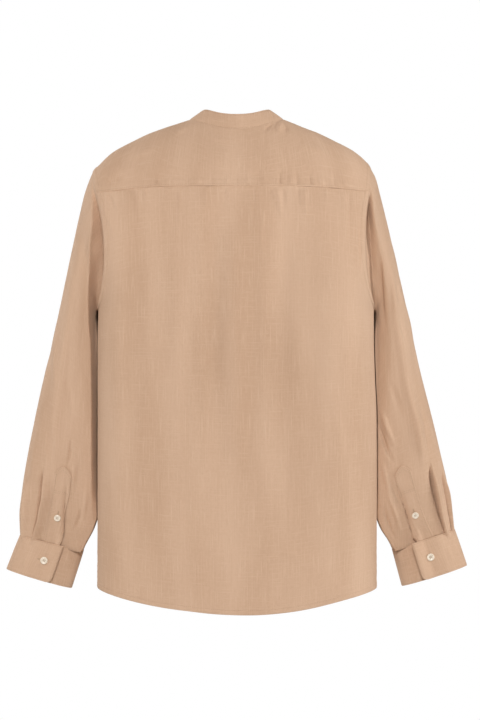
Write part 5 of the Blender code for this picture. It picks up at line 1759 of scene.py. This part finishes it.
def pearl():
    """Button with a soft pearly grain under a clear gloss."""
    made, tree, shader = finish("pearl_button", 0.28, Coat_Weight=0.4, Coat_Roughness=0.12)
    place = node(tree, "ShaderNodeTexCoord").outputs["Object"]
    sockets = {"Vector": place, "Scale": 190.0, "Detail": 3.0, "Distortion": 1.6}
    cloud = node(tree, "ShaderNodeTexNoise", sockets).outputs[0]
    cloud = ramp(tree, cloud, 0.3, 0.7)
    rough = maths(tree, "ADD", maths(tree, "MULTIPLY", cloud, 0.1), 0.24)
    join(tree, shader, Base_Color=mix(tree, cloud, BUTTON_SHADE, BUTTON_LIGHT), Roughness=rough)
    return made


# ---------------------------------------------------------------- light, floor and camera


def light(name, round_by, up_by, size, power):
    lamp = bpy.data.lights.new(name, "AREA")
    lamp.shape, lamp.size, lamp.energy, lamp.color = "DISK", size, power, LIGHT_COLOUR
    made = linked(name, lamp)
    turn, rise = math.radians(round_by), math.radians(up_by)
    away = Vector((math.sin(turn) * math.cos(rise), math.cos(turn) * math.cos(rise), math.sin(rise)))
    made.location = Vector(LIGHT_AIM) + LIGHT_AWAY * away
    made.rotation_euler = (-away).to_track_quat("-Z", "Y").to_euler()


def studio():
    scene = bpy.context.scene
    shape = bmesh.new()
    bmesh.ops.create_grid(shape, x_segments=1, y_segments=1, size=FLOOR_HALF)
    bmesh.ops.translate(shape, verts=shape.verts, vec=(0, 0, FLOOR_Z))
    floor = linked("floor", mesh_of("floor", shape))
    floor.data.materials.append(finish("pale_floor", 0.9, Base_Color=FLOOR_COLOUR)[0])
    for row in LIGHTS:
        light(*row)
    world = bpy.data.worlds.new("studio_air")
    scene.world = world
    world.use_nodes = True
    tree = world.node_tree
    tree.nodes.clear()
    seen = node(tree, "ShaderNodeBackground", {"Color": (1, 1, 1, 1), "Strength": 1.0})
    fill = node(tree, "ShaderNodeBackground", {"Color": FILL_COLOUR, "Strength": FILL})
    path = node(tree, "ShaderNodeLightPath")
    mixed = node(tree, "ShaderNodeMixShader", {0: path.outputs["Is Camera Ray"]})
    tree.links.new(fill.outputs[0], mixed.inputs[1])
    tree.links.new(seen.outputs[0], mixed.inputs[2])
    out = node(tree, "ShaderNodeOutputWorld")
    tree.links.new(mixed.outputs[0], out.inputs[0])
    view = bpy.data.cameras.new("camera")
    view.sensor_width = SENSOR
    view.lens = SENSOR * CAMERA_PLACE[1] / FRAME_HEIGHT
    camera = linked("camera", view)
    camera.location = CAMERA_PLACE
    camera.rotation_euler = (math.pi / 2, 0, math.pi)
    scene.camera = camera
    scene.view_settings.view_transform = "Standard"


def main():
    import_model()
    cloth_finish, sewing = linen(), thread()
    finishes = {"thread": sewing, "button": pearl()}

    back, back_bare, underarm = back_panel()
    yoke, yoke_bare = yoke_panel()
    back_edge = back_bare[underarm:]
    sheet("back", back, cloth_finish, [back_stitches(back_bare, underarm, sewing)])
    sheet("yoke", yoke, cloth_finish, [yoke_stitches(yoke_bare, sewing)])
    edges = {}
    for side in (LEFT, RIGHT):
        panel, bare, underarm = front_panel(side)
        edges[side] = bare[underarm:]
        rows = front_stitches(side, bare, underarm, sewing)
        sheet(f"front_{SIDE_NAMES[side]}", panel, cloth_finish, [rows])
        if side == LEFT:
            left_front = bare
    placket, placket_bare = front_placket_panel(left_front)
    collar, collar_bare = collar_panel()

    disc = button_shape()
    sewn = []
    numbers = np.arange(placket_bare.shape[0])
    middle = np.array([np.interp(0, line[:, 0], np.arange(len(line))) for line in placket_bare])
    middle_z = at(placket_bare, numbers, middle)[:, 2]
    for n in range(BUTTON_COUNT):
        row = np.interp(FIRST_BUTTON_Z - n * BUTTON_SPACING, middle_z, numbers)
        spot = frame_at(placket_bare, row, np.interp(row, numbers, middle), 1)
        sewn += sew_on(f"front_button_{n + 1}", disc, spot, 1.0, (0, 1), finishes)
    sheet("front_placket", placket, cloth_finish, [front_placket_stitches(placket_bare, sewing), *sewn])
    end = collar_bare[len(collar_bare) // 2, -COLLAR_END:]
    column = collar_bare.shape[1] - COLLAR_END + np.interp(0, -end[:, 0], np.arange(COLLAR_END))
    spot = frame_at(collar_bare, (len(collar_bare) - 1) / 2, column, -1)
    sewn = sew_on("collar_button", disc, spot, 1.0, (-1, 0), finishes)
    sheet("collar", collar, cloth_finish, [collar_stitches(collar_bare, sewing), *sewn])

    for side in (LEFT, RIGHT):
        word = SIDE_NAMES[side]
        lines = armhole(side, back_edge, yoke_bare, edges[side])
        sleeve, bare, turn = sleeve_panel(side, lines)
        sheet(f"sleeve_{word}", sleeve, cloth_finish, [])
        strip, strip_bare = sleeve_placket_panel(side, bare, turn)
        cuff, cuff_bare, cuff_turn = cuff_panel(side)
        climbed = from_edge(strip_bare, FIRST_ROW)[:, strip_bare.shape[1] // 2]
        row = np.interp(PLACKET_BUTTON_UP, climbed, np.arange(len(climbed)))
        spot = frame_at(strip_bare, row, (strip_bare.shape[1] - 1) / 2, -side)
        sewn = sew_on(f"placket_button_{word}", disc, spot, SMALL_BUTTON, (0, 1), finishes)
        sewn.append(sleeve_placket_stitches(side, strip_bare, sewing))
        sheet(f"sleeve_placket_{word}", strip, cloth_finish, sewn)
        column = np.interp(CUFF_BUTTON_TURN, cuff_turn, np.arange(len(cuff_turn)))
        spot = frame_at(cuff_bare, CUFF_BUTTON_DOWN * (len(cuff_bare) - 1), column, -side)
        sewn = sew_on(f"cuff_button_{word}", disc, spot, 1.0, (-1, 0), finishes)
        sheet(f"cuff_{word}", cuff, cloth_finish, [cuff_stitches(side, cuff_bare, sewing), *sewn])

    studio()


main()
